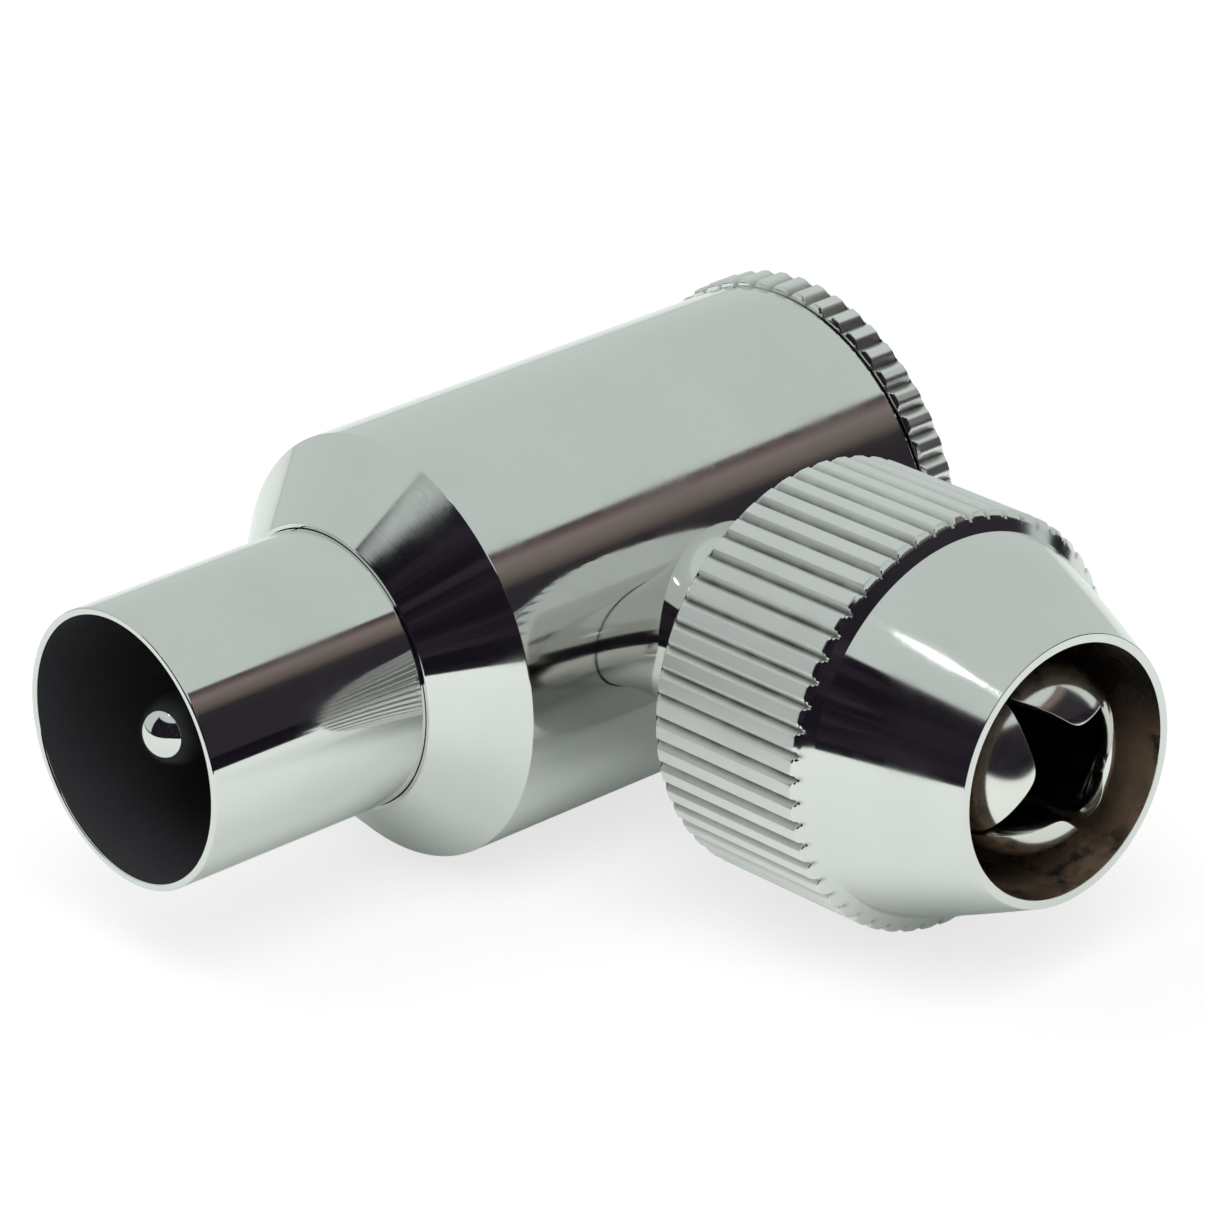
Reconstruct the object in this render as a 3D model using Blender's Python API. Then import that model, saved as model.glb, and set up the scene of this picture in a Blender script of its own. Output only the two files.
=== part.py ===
"""Right angle coaxial plug with a screwed rear cap and a cable clamping nut.

The plug points along +X and the cable leaves along +Y. The two axes cross inside the housing, and the
part lies as it rests on a table, with its origin at the middle of its foot.
"""

import math

import bmesh
import bpy
from mathutils import Matrix, Vector

MM = 0.001

# Plug end
PLUG_DIAMETER = 9.52 * MM
PLUG_WALL = 0.25 * MM
PLUG_REACH = 8.65 * MM
PLUG_SEAT_DEPTH = 5.15 * MM
PIN_DIAMETER = 2.4 * MM
PIN_SETBACK = 1.0 * MM
PIN_NOSE = 1.3 * MM
INSULATOR_SETBACK = 8.0 * MM

# Housing, measured from where the plug's axis and the cable's axis cross
BODY_DIAMETER = 14.6 * MM
BODY_FRONT = 8.9 * MM
BODY_REAR = 8.9 * MM
BODY_EDGE = 0.12 * MM
COLLAR_LENGTH = 2.35 * MM
COLLAR_LAND = 0.13 * MM
SEAT_THICKNESS = 1.05 * MM
SEAT_BORE_DIAMETER = 6.0 * MM
CHAMBER_WALL = 1.9 * MM
THREAD_WALL = 1.05 * MM
NECK_REACH = 15.0 * MM
NECK_WALL = 0.5 * MM
NECK_CHAMFER = 0.15 * MM

# Terminal behind the pin
BLOCK_DIAMETER = 4.8 * MM
BLOCK_OVERHANG = 1.0 * MM
SCREW_DIAMETER = 2.0 * MM
SCREW_GRIP = 2.8 * MM
SCREW_HEAD_DIAMETER = 3.8 * MM
SCREW_HEAD_HEIGHT = 1.2 * MM
SCREW_SLOT_WIDTH = 0.5 * MM
SCREW_SLOT_DEPTH = 0.6 * MM
WASHER_DIAMETER = 4.6 * MM
WASHER_THICKNESS = 0.3 * MM

# Rear cap, its rim a little proud of the body
CAP_PROUD = 0.25 * MM
CAP_KNURL_LENGTH = 1.05 * MM
CAP_TEETH = 52
CAP_FACE_EDGE = 0.5 * MM
CAP_FACE_RISE = 0.3 * MM
CAP_FLOOR = 1.25 * MM
CAP_THREAD_LENGTH = 3.4 * MM
CAP_BOSS_WALL = 1.0 * MM
CAP_GAP = 0.12 * MM
DISC_THICKNESS = 0.6 * MM

# Compression nut
NUT_WALL = 3.5 * MM
NUT_BARREL = 6.85 * MM
NUT_TEETH = 54
NUT_CHAMFER = 0.5 * MM
NUT_SHOULDER = 5.35 * MM
NUT_LIP = 0.6 * MM
NUT_FACE_WIDTH = 0.6 * MM
NUT_FACE_RISE = 0.25 * MM
CONE_LENGTH = 4.75 * MM
CONE_BULGE = 0.03 * MM
MOUTH_DIAMETER = 8.6 * MM
MOUTH_WALL = 0.24 * MM
RIM_EDGE = 0.05 * MM

# Claw ring inside the nut, clamped between the neck's end and the nut's inner lip
CLAW_PETALS = 4
CLAW_DIAMETER = 6.5 * MM
CLAW_RIM = 0.2 * MM
CLAW_SHEET = 0.35 * MM
CLAW_FLANGE = 0.9 * MM
CLAW_PROUD = 0.2 * MM
CLAW_SLOT_START = 1.7 * MM
CLAW_SLOT_WIDTH = 0.26 * MM
CLAW_BEND = 2.0 * MM
CLAW_HOLE_DIAMETER = 3.15 * MM
CLAW_CORNER_DIAMETER = 6.1 * MM
CLAW_TONGUE = 2.0
CLAW_TURN = math.radians(15)

# Knurls and clearances
KNURL_DEPTH = 0.25 * MM
KNURL_CHAMFER = 0.15 * MM
TOOTH_LAND = 0.46
THREAD_CLEARANCE = 0.05 * MM
FIT_CLEARANCE = 0.03 * MM
SEAT_CLEARANCE = 0.05 * MM

# How finely round things are divided
ROUND_SIDES = 72
SMALL_SIDES = 36
PETAL_COLUMNS = 9
BEND_ROWS = 8
NOSE_ROWS = 6
CONE_ROWS = 4

# Places along the plug's axis, from the crossing
COLLAR_END = BODY_FRONT + COLLAR_LENGTH
PLUG_MOUTH = COLLAR_END + PLUG_REACH
PLUG_SEAT = COLLAR_END - PLUG_SEAT_DEPTH
CHAMBER_END = PLUG_SEAT - SEAT_THICKNESS
BLOCK_REAR = -BLOCK_OVERHANG
CAP_START = -BODY_REAR - CAP_GAP
CAP_FACE = CAP_START - CAP_KNURL_LENGTH - CAP_FACE_RISE
CAP_INSIDE = CAP_FACE + CAP_FLOOR
CAP_BOSS_END = CAP_START + CAP_THREAD_LENGTH

# Places along the cable's axis, from the crossing
CLAW_BASE = NECK_REACH + SEAT_CLEARANCE
CLAW_FLANGE_TOP = CLAW_BASE + CLAW_FLANGE
NUT_STEP = CLAW_FLANGE_TOP + SEAT_CLEARANCE
NUT_START = NUT_STEP - NUT_SHOULDER
NUT_FRONT = NUT_START + NUT_BARREL
CONE_START = NUT_FRONT + NUT_FACE_RISE
NUT_MOUTH = CONE_START + CONE_LENGTH
CLAW_TIP = NUT_MOUTH + CLAW_PROUD

# Radii that follow from the body's and the claw ring's
BODY_RADIUS = BODY_DIAMETER / 2
CAP_RADIUS = BODY_RADIUS + CAP_PROUD
THREAD_BORE_RADIUS = BODY_RADIUS - THREAD_WALL
CAP_BOSS_RADIUS = THREAD_BORE_RADIUS - THREAD_CLEARANCE
CAP_HOLLOW_RADIUS = CAP_BOSS_RADIUS - CAP_BOSS_WALL
CLAW_RADIUS = CLAW_DIAMETER / 2
NECK_RADIUS = CLAW_RADIUS + CLAW_RIM + SEAT_CLEARANCE
NUT_THREAD_RADIUS = NECK_RADIUS + THREAD_CLEARANCE
NUT_RADIUS = NUT_THREAD_RADIUS + NUT_WALL

# The part's origin is the middle of its foot
REACH_FRONT = PLUG_MOUTH
REACH_REAR = CAP_FACE
REACH_CABLE = max(CLAW_TIP, NUT_MOUTH)
HALF_HEIGHT = max(CAP_RADIUS, BODY_RADIUS, NUT_RADIUS)
CROSSING = Vector((-(REACH_FRONT + REACH_REAR) / 2, -(REACH_CABLE - HALF_HEIGHT) / 2, HALF_HEIGHT))


def clear_scene():
    for obj in list(bpy.data.objects):
        bpy.data.objects.remove(obj, do_unlink=True)


def material(name, colour, roughness, metallic):
    made = bpy.data.materials.new(name)
    made.use_nodes = True
    shader = made.node_tree.nodes["Principled BSDF"]
    shader.inputs["Base Color"].default_value = (*colour, 1)
    shader.inputs["Roughness"].default_value = roughness
    shader.inputs["Metallic"].default_value = metallic
    made.diffuse_color = (*colour, 1)
    return made


def axis_empty(name, rotation):
    """An empty at the crossing whose Z runs along one of the two axes."""
    empty = bpy.data.objects.new(name, None)
    empty.matrix_world = Matrix.Translation(CROSSING) @ rotation
    empty.empty_display_size = BODY_DIAMETER
    bpy.context.scene.collection.objects.link(empty)
    return empty


def circle(along, radius, sides=ROUND_SIDES):
    """A ring of points round Z, or a single point where the radius is zero."""
    if radius == 0:
        return [Vector((0, 0, along))]
    angles = [2 * math.pi * i / sides for i in range(sides)]
    return [Vector((radius * math.cos(a), radius * math.sin(a), along)) for a in angles]


def toothed(along, radius, teeth, depth=KNURL_DEPTH):
    """A ring with a flat land and a V groove for each tooth of a straight knurl."""
    pitch = 2 * math.pi / teeth
    corners = ((-TOOTH_LAND / 2, radius), (TOOTH_LAND / 2, radius), (0.5, radius - depth))
    points = []
    for tooth in range(teeth):
        for share, reach in corners:
            angle = (tooth + share) * pitch
            points.append(Vector((reach * math.cos(angle), reach * math.sin(angle), along)))
    return points


def stitch(bm, first, second):
    """Faces between two rings, where one may have a whole number of times the other's points."""
    if len(first) < len(second):
        coarse, fine = first, second
    else:
        coarse, fine = second, first
    ratio = len(fine) // len(coarse)
    if len(coarse) == 1:
        for i, point in enumerate(fine):
            bm.faces.new((coarse[0], point, fine[(i + 1) % len(fine)]))
        return
    for i, point in enumerate(coarse):
        arc = [fine[(i * ratio + step) % len(fine)] for step in range(ratio + 1)]
        bm.faces.new([point, *arc, coarse[(i + 1) % len(coarse)]])


def skin(rings, hollow):
    """A closed mesh through the rings; a hollow one joins its last ring to its first."""
    bm = bmesh.new()
    loops = [[bm.verts.new(point) for point in ring] for ring in rings]
    for first, second in zip(loops, loops[1:]):
        stitch(bm, first, second)
    if hollow:
        stitch(bm, loops[-1], loops[0])
    bmesh.ops.recalc_face_normals(bm, faces=bm.faces)
    return bm


def piece(name, bm, look, axis):
    """Turns a mesh into a named object on one of the axes."""
    mesh = bpy.data.meshes.new(name)
    bm.to_mesh(mesh)
    bm.free()
    mesh.shade_smooth()
    mesh.set_sharp_from_angle(angle=math.radians(30))
    obj = bpy.data.objects.new(name, mesh)
    obj.data.materials.append(look)
    obj.parent = axis
    bpy.context.scene.collection.objects.link(obj)
    return obj


def helper(name, bm, axis):
    """A hidden solid that only shapes another piece."""
    obj = piece(name, bm, None, axis)
    obj.hide_render = True
    obj.display_type = "WIRE"
    return obj


def combine(obj, other, operation):
    step = obj.modifiers.new(other.name, "BOOLEAN")
    step.object = other
    step.operation = operation
    step.solver = "EXACT"


def turned(profile, hollow, sides=ROUND_SIDES):
    return skin([circle(along, radius, sides) for along, radius in profile], hollow)


def rod(start, end, radius, sides=ROUND_SIDES):
    return turned(((start, 0), (start, radius), (end, radius), (end, 0)), False, sides)


def make_housing(look, plug_axis, cable_axis):
    """The turned body with its collar, the neck across it, and the bores through both."""
    collar_nose = PLUG_DIAMETER / 2 + FIT_CLEARANCE + COLLAR_LAND
    body = piece(
        "housing",
        turned(
            (
                (COLLAR_END, 0),
                (COLLAR_END, collar_nose),
                (BODY_FRONT, BODY_RADIUS),
                (-BODY_REAR + BODY_EDGE, BODY_RADIUS),
                (-BODY_REAR, BODY_RADIUS - BODY_EDGE),
                (-BODY_REAR, 0),
            ),
            False,
        ),
        look,
        plug_axis,
    )
    neck = helper(
        "neck_blank",
        turned(
            (
                (0, 0),
                (0, NECK_RADIUS),
                (NECK_REACH - NECK_CHAMFER, NECK_RADIUS),
                (NECK_REACH, NECK_RADIUS - NECK_CHAMFER),
                (NECK_REACH, 0),
            ),
            False,
        ),
        cable_axis,
    )
    beyond = BODY_DIAMETER
    chamber = BODY_RADIUS - CHAMBER_WALL
    bores = helper(
        "plug_axis_bores",
        turned(
            (
                (PLUG_MOUTH + beyond, 0),
                (PLUG_MOUTH + beyond, PLUG_DIAMETER / 2 + FIT_CLEARANCE),
                (PLUG_SEAT, PLUG_DIAMETER / 2 + FIT_CLEARANCE),
                (PLUG_SEAT, SEAT_BORE_DIAMETER / 2),
                (CHAMBER_END, SEAT_BORE_DIAMETER / 2),
                (CHAMBER_END, chamber),
                (CAP_BOSS_END + CAP_GAP, chamber),
                (CAP_BOSS_END + CAP_GAP, THREAD_BORE_RADIUS),
                (-BODY_REAR - beyond, THREAD_BORE_RADIUS),
                (-BODY_REAR - beyond, 0),
            ),
            False,
        ),
        plug_axis,
    )
    cable_bore = helper("cable_bore", rod(0, NECK_REACH + beyond, NECK_RADIUS - NECK_WALL), cable_axis)
    combine(body, neck, "UNION")
    combine(body, bores, "DIFFERENCE")
    combine(body, cable_bore, "DIFFERENCE")
    return body


def make_plug_sleeve(look, axis):
    """The thin outer contact, its mouth's two edges broken a little."""
    outer = PLUG_DIAMETER / 2
    inner = outer - PLUG_WALL
    rear = PLUG_SEAT + SEAT_CLEARANCE
    profile = (
        (rear, inner),
        (rear, outer),
        (PLUG_MOUTH - RIM_EDGE, outer),
        (PLUG_MOUTH, outer - RIM_EDGE),
        (PLUG_MOUTH, inner + RIM_EDGE),
        (PLUG_MOUTH - RIM_EDGE, inner),
    )
    return piece("plug_sleeve", turned(profile, True), look, axis)


def make_pin_insulator(look, axis):
    """Fills the sleeve's rear end and carries the pin; its spigot passes the housing's seat."""
    front = PLUG_MOUTH - INSULATOR_SETBACK
    seat = PLUG_SEAT + SEAT_CLEARANCE
    bore = PIN_DIAMETER / 2 + FIT_CLEARANCE
    body = PLUG_DIAMETER / 2 - PLUG_WALL - FIT_CLEARANCE
    spigot = SEAT_BORE_DIAMETER / 2 - FIT_CLEARANCE
    profile = (
        (front, bore),
        (front, body),
        (seat, body),
        (seat, spigot),
        (CHAMBER_END, spigot),
        (CHAMBER_END, bore),
    )
    return piece("pin_insulator", turned(profile, True, SMALL_SIDES), look, axis)


def make_centre_pin(look, axis):
    """The pin with its round nose, and the tapped terminal block on its rear end."""
    tip = PLUG_MOUTH - PIN_SETBACK
    pin = PIN_DIAMETER / 2
    block = BLOCK_DIAMETER / 2
    block_front = CHAMBER_END - SEAT_CLEARANCE
    hole = SCREW_DIAMETER / 2 + THREAD_CLEARANCE
    hole_end = BLOCK_REAR + SCREW_GRIP + SCREW_DIAMETER / 4
    profile = [(tip, 0)]
    for row in range(1, NOSE_ROWS + 1):
        angle = math.pi / 2 * row / NOSE_ROWS
        profile.append((tip - PIN_NOSE * (1 - math.cos(angle)), pin * math.sin(angle)))
    profile += [
        (block_front, pin),
        (block_front, block),
        (BLOCK_REAR, block),
        (BLOCK_REAR, hole),
        (hole_end, hole),
        (hole_end, 0),
    ]
    return piece("centre_pin", turned(profile, False, SMALL_SIDES), look, axis)


def make_terminal(washer_look, screw_look, axis):
    """The washer that lies on the block, and the slotted screw through it."""
    shank = SCREW_DIAMETER / 2
    head = SCREW_HEAD_DIAMETER / 2
    washer_front = BLOCK_REAR - FIT_CLEARANCE
    washer_rear = washer_front - WASHER_THICKNESS
    head_front = washer_rear - FIT_CLEARANCE
    head_rear = head_front - SCREW_HEAD_HEIGHT
    hole = shank + THREAD_CLEARANCE
    washer_profile = (
        (washer_front, hole),
        (washer_front, WASHER_DIAMETER / 2),
        (washer_rear, WASHER_DIAMETER / 2),
        (washer_rear, hole),
    )
    washer = piece("terminal_washer", turned(washer_profile, True, SMALL_SIDES), washer_look, axis)
    screw_profile = (
        (BLOCK_REAR + SCREW_GRIP, 0),
        (BLOCK_REAR + SCREW_GRIP, shank),
        (head_front, shank),
        (head_front, head),
        (head_rear, head),
        (head_rear, 0),
    )
    screw = piece("terminal_screw", turned(screw_profile, False, SMALL_SIDES), screw_look, axis)
    slot = bmesh.new()
    bmesh.ops.create_cube(slot, size=1)
    size = Vector((2 * SCREW_HEAD_DIAMETER, SCREW_SLOT_WIDTH, 2 * SCREW_SLOT_DEPTH))
    bmesh.ops.scale(slot, vec=size, verts=slot.verts)
    bmesh.ops.translate(slot, vec=Vector((0, 0, head_rear)), verts=slot.verts)
    combine(screw, helper("screw_slot", slot, axis), "DIFFERENCE")
    return washer, screw


def make_rear_cap(look, axis):
    """The knurled screw cap: rim and face outside, threaded boss with its hollow inside."""
    tip = CAP_RADIUS
    knurl_end = CAP_START - CAP_KNURL_LENGTH
    sides = CAP_TEETH
    rings = [
        circle(CAP_FACE, 0),
        circle(CAP_FACE, CAP_RADIUS - CAP_FACE_EDGE, sides),
        toothed(knurl_end, tip - KNURL_CHAMFER, CAP_TEETH, KNURL_DEPTH - KNURL_CHAMFER),
        toothed(knurl_end + KNURL_CHAMFER / 2, tip, CAP_TEETH),
        toothed(CAP_START - KNURL_CHAMFER / 2, tip, CAP_TEETH),
        toothed(CAP_START, tip - KNURL_CHAMFER, CAP_TEETH, KNURL_DEPTH - KNURL_CHAMFER),
        circle(CAP_START, CAP_BOSS_RADIUS, sides),
        circle(CAP_BOSS_END, CAP_BOSS_RADIUS, sides),
        circle(CAP_BOSS_END, CAP_HOLLOW_RADIUS, sides),
        circle(CAP_INSIDE, CAP_HOLLOW_RADIUS, sides),
        circle(CAP_INSIDE, 0),
    ]
    return piece("rear_cap", skin(rings, False), look, axis)


def make_cap_disc(look, axis):
    """A loose insulating disc on the cap's floor, between the cap and the terminal screw."""
    start = CAP_INSIDE + SEAT_CLEARANCE
    radius = CAP_HOLLOW_RADIUS - 2 * SEAT_CLEARANCE
    return piece("cap_disc", rod(start, start + DISC_THICKNESS, radius, SMALL_SIDES), look, axis)


def make_compression_nut(look, axis):
    """The clamping nut: knurled barrel chamfered behind, sloping face, cone, thin mouth, lip inside."""
    tip = NUT_RADIUS
    mouth = MOUTH_DIAMETER / 2
    lip = mouth + MOUTH_WALL
    base = NUT_RADIUS - NUT_FACE_WIDTH
    claw_hole = CLAW_RADIUS + SEAT_CLEARANCE
    sides = NUT_TEETH
    rings = [
        circle(NUT_START, NUT_THREAD_RADIUS, sides),
        circle(NUT_START, tip - NUT_CHAMFER, sides),
        toothed(NUT_START + NUT_CHAMFER - KNURL_DEPTH, tip - KNURL_DEPTH, NUT_TEETH, 0),
        toothed(NUT_START + NUT_CHAMFER, tip, NUT_TEETH),
        toothed(NUT_FRONT - KNURL_CHAMFER, tip, NUT_TEETH),
        toothed(NUT_FRONT, tip - KNURL_CHAMFER, NUT_TEETH, KNURL_DEPTH - KNURL_CHAMFER),
    ]
    for row in range(CONE_ROWS + 1):
        share = row / CONE_ROWS
        along = CONE_START + share * (CONE_LENGTH - RIM_EDGE)
        bulge = CONE_BULGE * math.sin(math.pi * share)
        rings.append(circle(along, base + share * (lip - base) + bulge, sides))
    rings += [
        circle(NUT_MOUTH, lip - RIM_EDGE, sides),
        circle(NUT_MOUTH, mouth + RIM_EDGE, sides),
        circle(NUT_MOUTH - RIM_EDGE, mouth, sides),
        circle(NUT_STEP + NUT_LIP, mouth, sides),
        circle(NUT_STEP + NUT_LIP, claw_hole, sides),
        circle(NUT_STEP, claw_hole, sides),
        circle(NUT_STEP, NUT_THREAD_RADIUS, sides),
    ]
    return piece("compression_nut", skin(rings, True), look, axis)


def claw_column(angle, across, rows):
    """Outer and inner points of one petal column, from the slot's floor to the free edge."""
    bend_centre = CLAW_RADIUS - CLAW_BEND
    bend_start = CLAW_TIP - CLAW_BEND
    hole = CLAW_HOLE_DIAMETER / 2
    edge = hole + (CLAW_CORNER_DIAMETER / 2 - hole) * abs(across) ** CLAW_TONGUE
    last = math.acos((edge - bend_centre) / CLAW_BEND)
    skins = []
    for radius in (CLAW_BEND, CLAW_BEND - CLAW_SHEET):
        path = [(bend_centre + radius, CLAW_BASE + CLAW_SLOT_START)]
        for row in range(rows + 1):
            turn = last * row / rows
            path.append((bend_centre + radius * math.cos(turn), bend_start + radius * math.sin(turn)))
        skins.append([Vector((r * math.cos(angle), r * math.sin(angle), z)) for r, z in path])
    return skins


def make_claw_ring(look, axis):
    """Four springy petals on a flange. Their free edges are tongues that close in on the cable."""
    outer = CLAW_RADIUS
    inner = outer - CLAW_SHEET
    flange = CLAW_RADIUS + CLAW_RIM
    spread = math.pi / CLAW_PETALS - CLAW_SLOT_WIDTH / 2 / outer
    columns = []
    for petal in range(CLAW_PETALS):
        middle = 2 * math.pi * petal / CLAW_PETALS - CLAW_TURN
        for column in range(PETAL_COLUMNS):
            across = 2 * column / (PETAL_COLUMNS - 1) - 1
            columns.append((middle + across * spread, across))
    bm = bmesh.new()
    petals = []
    for angle, across in columns:
        petals.append([[bm.verts.new(p) for p in side] for side in claw_column(angle, across, BEND_ROWS)])
    base_rings = []
    for along, radius in (
        (CLAW_FLANGE_TOP, outer),
        (CLAW_FLANGE_TOP, flange),
        (CLAW_BASE, flange),
        (CLAW_BASE, inner),
    ):
        ring = [bm.verts.new((radius * math.cos(a), radius * math.sin(a), along)) for a, _ in columns]
        base_rings.append(ring)
    foot = [[column[0][0] for column in petals], *base_rings, [column[1][0] for column in petals]]
    for first, second in zip(foot, foot[1:]):
        stitch(bm, first, second)
    for index, here in enumerate(petals):
        outside, inside = here
        after = petals[(index + 1) % len(petals)]
        place = index % PETAL_COLUMNS
        if place in (0, PETAL_COLUMNS - 1):
            for row in range(len(outside) - 1):
                bm.faces.new((outside[row], outside[row + 1], inside[row + 1], inside[row]))
        if place == PETAL_COLUMNS - 1:
            bm.faces.new((outside[0], after[0][0], after[1][0], inside[0]))
            continue
        for row in range(len(outside) - 1):
            for side in (0, 1):
                bm.faces.new((here[side][row], after[side][row], after[side][row + 1], here[side][row + 1]))
        bm.faces.new((outside[-1], after[0][-1], after[1][-1], inside[-1]))
    bmesh.ops.recalc_face_normals(bm, faces=bm.faces)
    return piece("claw_ring", bm, look, axis)


def build():
    clear_scene()
    nickel = material("nickel_plate", (0.76, 0.77, 0.75), 0.08, 1.0)
    spring = material("claw_nickel", (0.78, 0.77, 0.73), 0.06, 1.0)
    steel = material("terminal_steel", (0.62, 0.62, 0.61), 0.25, 1.0)
    black = material("black_insulator", (0.02, 0.02, 0.022), 0.45, 0.0)
    plug_axis = axis_empty("plug_axis", Matrix.Rotation(math.pi / 2, 4, "Y"))
    cable_axis = axis_empty("cable_axis", Matrix.Rotation(-math.pi / 2, 4, "X"))
    make_housing(nickel, plug_axis, cable_axis)
    make_plug_sleeve(nickel, plug_axis)
    make_pin_insulator(black, plug_axis)
    make_centre_pin(nickel, plug_axis)
    make_terminal(steel, steel, plug_axis)
    make_rear_cap(nickel, plug_axis)
    make_cap_disc(black, plug_axis)
    make_compression_nut(nickel, cable_axis)
    make_claw_ring(spring, cable_axis)


build()
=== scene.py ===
"""Looks of the right angle coaxial plug: fine turned metal, knurls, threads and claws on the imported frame.

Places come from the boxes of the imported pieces. The other sizes are named values of the real plug.
Everything that is turned, knurled or threaded comes from one Geometry Nodes tree.
"""

import math

import bmesh
import bpy
import numpy as np
from mathutils import Matrix, Quaternion, Vector


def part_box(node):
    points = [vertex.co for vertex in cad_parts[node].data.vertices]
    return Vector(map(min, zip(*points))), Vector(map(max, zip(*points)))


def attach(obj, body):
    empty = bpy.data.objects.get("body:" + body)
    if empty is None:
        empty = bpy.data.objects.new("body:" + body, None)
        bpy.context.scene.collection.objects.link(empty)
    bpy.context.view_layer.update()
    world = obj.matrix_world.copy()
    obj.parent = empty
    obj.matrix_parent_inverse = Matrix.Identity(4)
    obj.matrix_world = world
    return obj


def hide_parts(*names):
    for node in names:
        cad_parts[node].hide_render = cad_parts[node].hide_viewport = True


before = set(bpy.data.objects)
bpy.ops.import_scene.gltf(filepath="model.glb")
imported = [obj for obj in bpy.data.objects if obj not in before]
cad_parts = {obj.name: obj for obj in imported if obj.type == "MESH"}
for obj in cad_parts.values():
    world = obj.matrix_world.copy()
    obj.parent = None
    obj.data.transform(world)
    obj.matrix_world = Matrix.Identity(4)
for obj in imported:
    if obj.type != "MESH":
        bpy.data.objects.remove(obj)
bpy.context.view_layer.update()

MM = 0.001

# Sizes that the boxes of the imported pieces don't give
PLUG_WALL = 0.25 * MM
PIN_NOSE = 1.3 * MM
PIN_RADIUS = 1.2 * MM
SCREW_HOLE_RADIUS = 1.05 * MM
SCREW_HOLE_DEPTH = 3.3 * MM
COLLAR_LENGTH = 2.35 * MM
COLLAR_LAND = 0.16 * MM
BODY_EDGE = 0.12 * MM
SEAT_BORE_RADIUS = 3.0 * MM
SEAT_THICKNESS = 1.05 * MM
CHAMBER_WALL = 1.9 * MM
THREAD_WALL = 1.05 * MM
NECK_WALL = 0.5 * MM
NECK_CHAMFER = 0.15 * MM
NECK_PLAIN = 0.9 * MM
CAP_KNURL_LENGTH = 1.05 * MM
CAP_RIM_REACH = 0.08 * MM
CAP_FACE_RISE = 0.3 * MM
CAP_FACE_EDGE = 0.5 * MM
CAP_FLOOR = 1.25 * MM
CAP_BOSS_WALL = 1.0 * MM
NUT_BARREL = 6.85 * MM
NUT_CHAMFER = 0.5 * MM
NUT_SHOULDER = 5.35 * MM
NUT_LIP = 0.6 * MM
NUT_FACE_WIDTH = 0.6 * MM
NUT_FACE_RISE = 0.25 * MM
CONE_BULGE = 0.03 * MM
MOUTH_RADIUS = 4.24 * MM
MOUTH_WALL = 0.3 * MM
LIP_EDGE = 0.02 * MM
THREAD_CLEARANCE = 0.05 * MM
FIT_CLEARANCE = 0.03 * MM
SEAT_CLEARANCE = 0.05 * MM

# Knurls and threads
CAP_TEETH = 52
NUT_TEETH = 54
COLUMNS_PER_TOOTH = 12
KNURL_DEPTH = 0.25 * MM
KNURL_CHAMFER = 0.15 * MM
CAP_LAND = 0.4
NUT_LAND = 0.58
THREAD_PITCH = 0.75 * MM
THREAD_DEPTH = 0.22 * MM
THREAD_FLAT = 0.12
THREAD_STEPS = 10
CAP_ROW_STRETCH = 1.6

# Claw ring
CLAW_PETALS = 4
CLAW_RADIUS = 3.25 * MM
CLAW_RIM = 0.2 * MM
CLAW_SHEET = 0.35 * MM
CLAW_FLANGE = 0.9 * MM
CLAW_SLOT_START = 1.7 * MM
CLAW_SLOT_WIDTH = 0.26 * MM
CLAW_BEND = 2.0 * MM
CLAW_HOLE_RADIUS = 1.575 * MM
CLAW_CORNER_RADIUS = 3.05 * MM
CLAW_TONGUE = 2.0
CLAW_TURN = math.radians(15)
CLAW_EDGE = 0.1 * MM

# Fineness of the meshes
ROUND_COLUMNS = 192
SMALL_COLUMNS = 96
PETAL_COLUMNS = 29
PETAL_ROWS = 24
EDGE_STEPS = 4
CONE_STEPS = 8
HOLD = 0.02 * MM
SOFT_EDGE = 0.04 * MM
LONG_STEP = 0.4 * MM
SEAM = 0.001 * MM

# Colours, the way that turning lines run, and how marks change a finish
WHITE = (1, 1, 1, 1)
NICKEL = (0.74, 0.735, 0.72)
# Painted sheen: the paler colour of knurled lands
KNURL_SHEEN_PALE = (0.87, 0.86, 0.85)
CLAW_COLOUR = (0.80, 0.785, 0.75)
STEEL_GREY = (0.60, 0.60, 0.59)
# Painted reflection and shade: the nut bore's dim brown, and the darker colour of its stains and of its
# shaded upper side
BORE_SHADE_BROWN = (0.19, 0.13, 0.09)
BORE_STAIN_AND_SHADE = (0.035, 0.028, 0.024)
# Painted shade: the dark grey of the sleeve's shaded bore
BORE_SHADE_GREY = (0.034, 0.033, 0.038)
# Colours of soiling and painted shade deep in knurl and thread grooves
GRIME_AND_SHADE_BROWN = (0.10, 0.085, 0.07)
GRIME_AND_SHADE_GREEN = (0.22, 0.23, 0.20)
GRIME_AND_SHADE_BLACK = (0.01, 0.01, 0.01)
PLASTIC_BLACK = (0.012, 0.012, 0.013)
PLASTIC_CLOUD = (0.022, 0.021, 0.023)
FIBRE_BROWN = (0.016, 0.013, 0.012)
FIBRE_CLOUD = (0.035, 0.028, 0.024)
ALONG_PLUG = (8.0, 0.4, 0.4)
ALONG_CABLE = (0.4, 8.0, 0.4)
ROUND_SCREW = (0.5, 8.0, 8.0)
NO_WAY = (1.0, 1.0, 1.0)
LINE_SCALE = 900.0
SCRATCH_SCALE = 260.0
SCRATCH_WAYS = ((0.3, 0.9, 0.2), (1.2, 0.1, 2.1), (2.3, 1.4, 0.8))
SCRATCH_DULLING = 0.05
SMUDGE_SCALE = 170.0
SMUDGE_SHARE = 0.22
SMUDGE_DARKER = 0.86
GRIME_DULLING = 0.22
BORE_SMUDGE_SCALE = 420.0
BORE_PATCH_SCALE = 520.0
BORE_METALLIC = 0.4
# Painted shade: the heights over the plug's axis across which the nut's bore darkens towards its top
BORE_SHADE_HEIGHTS = (-1.0 * MM, 1.5 * MM)

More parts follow.
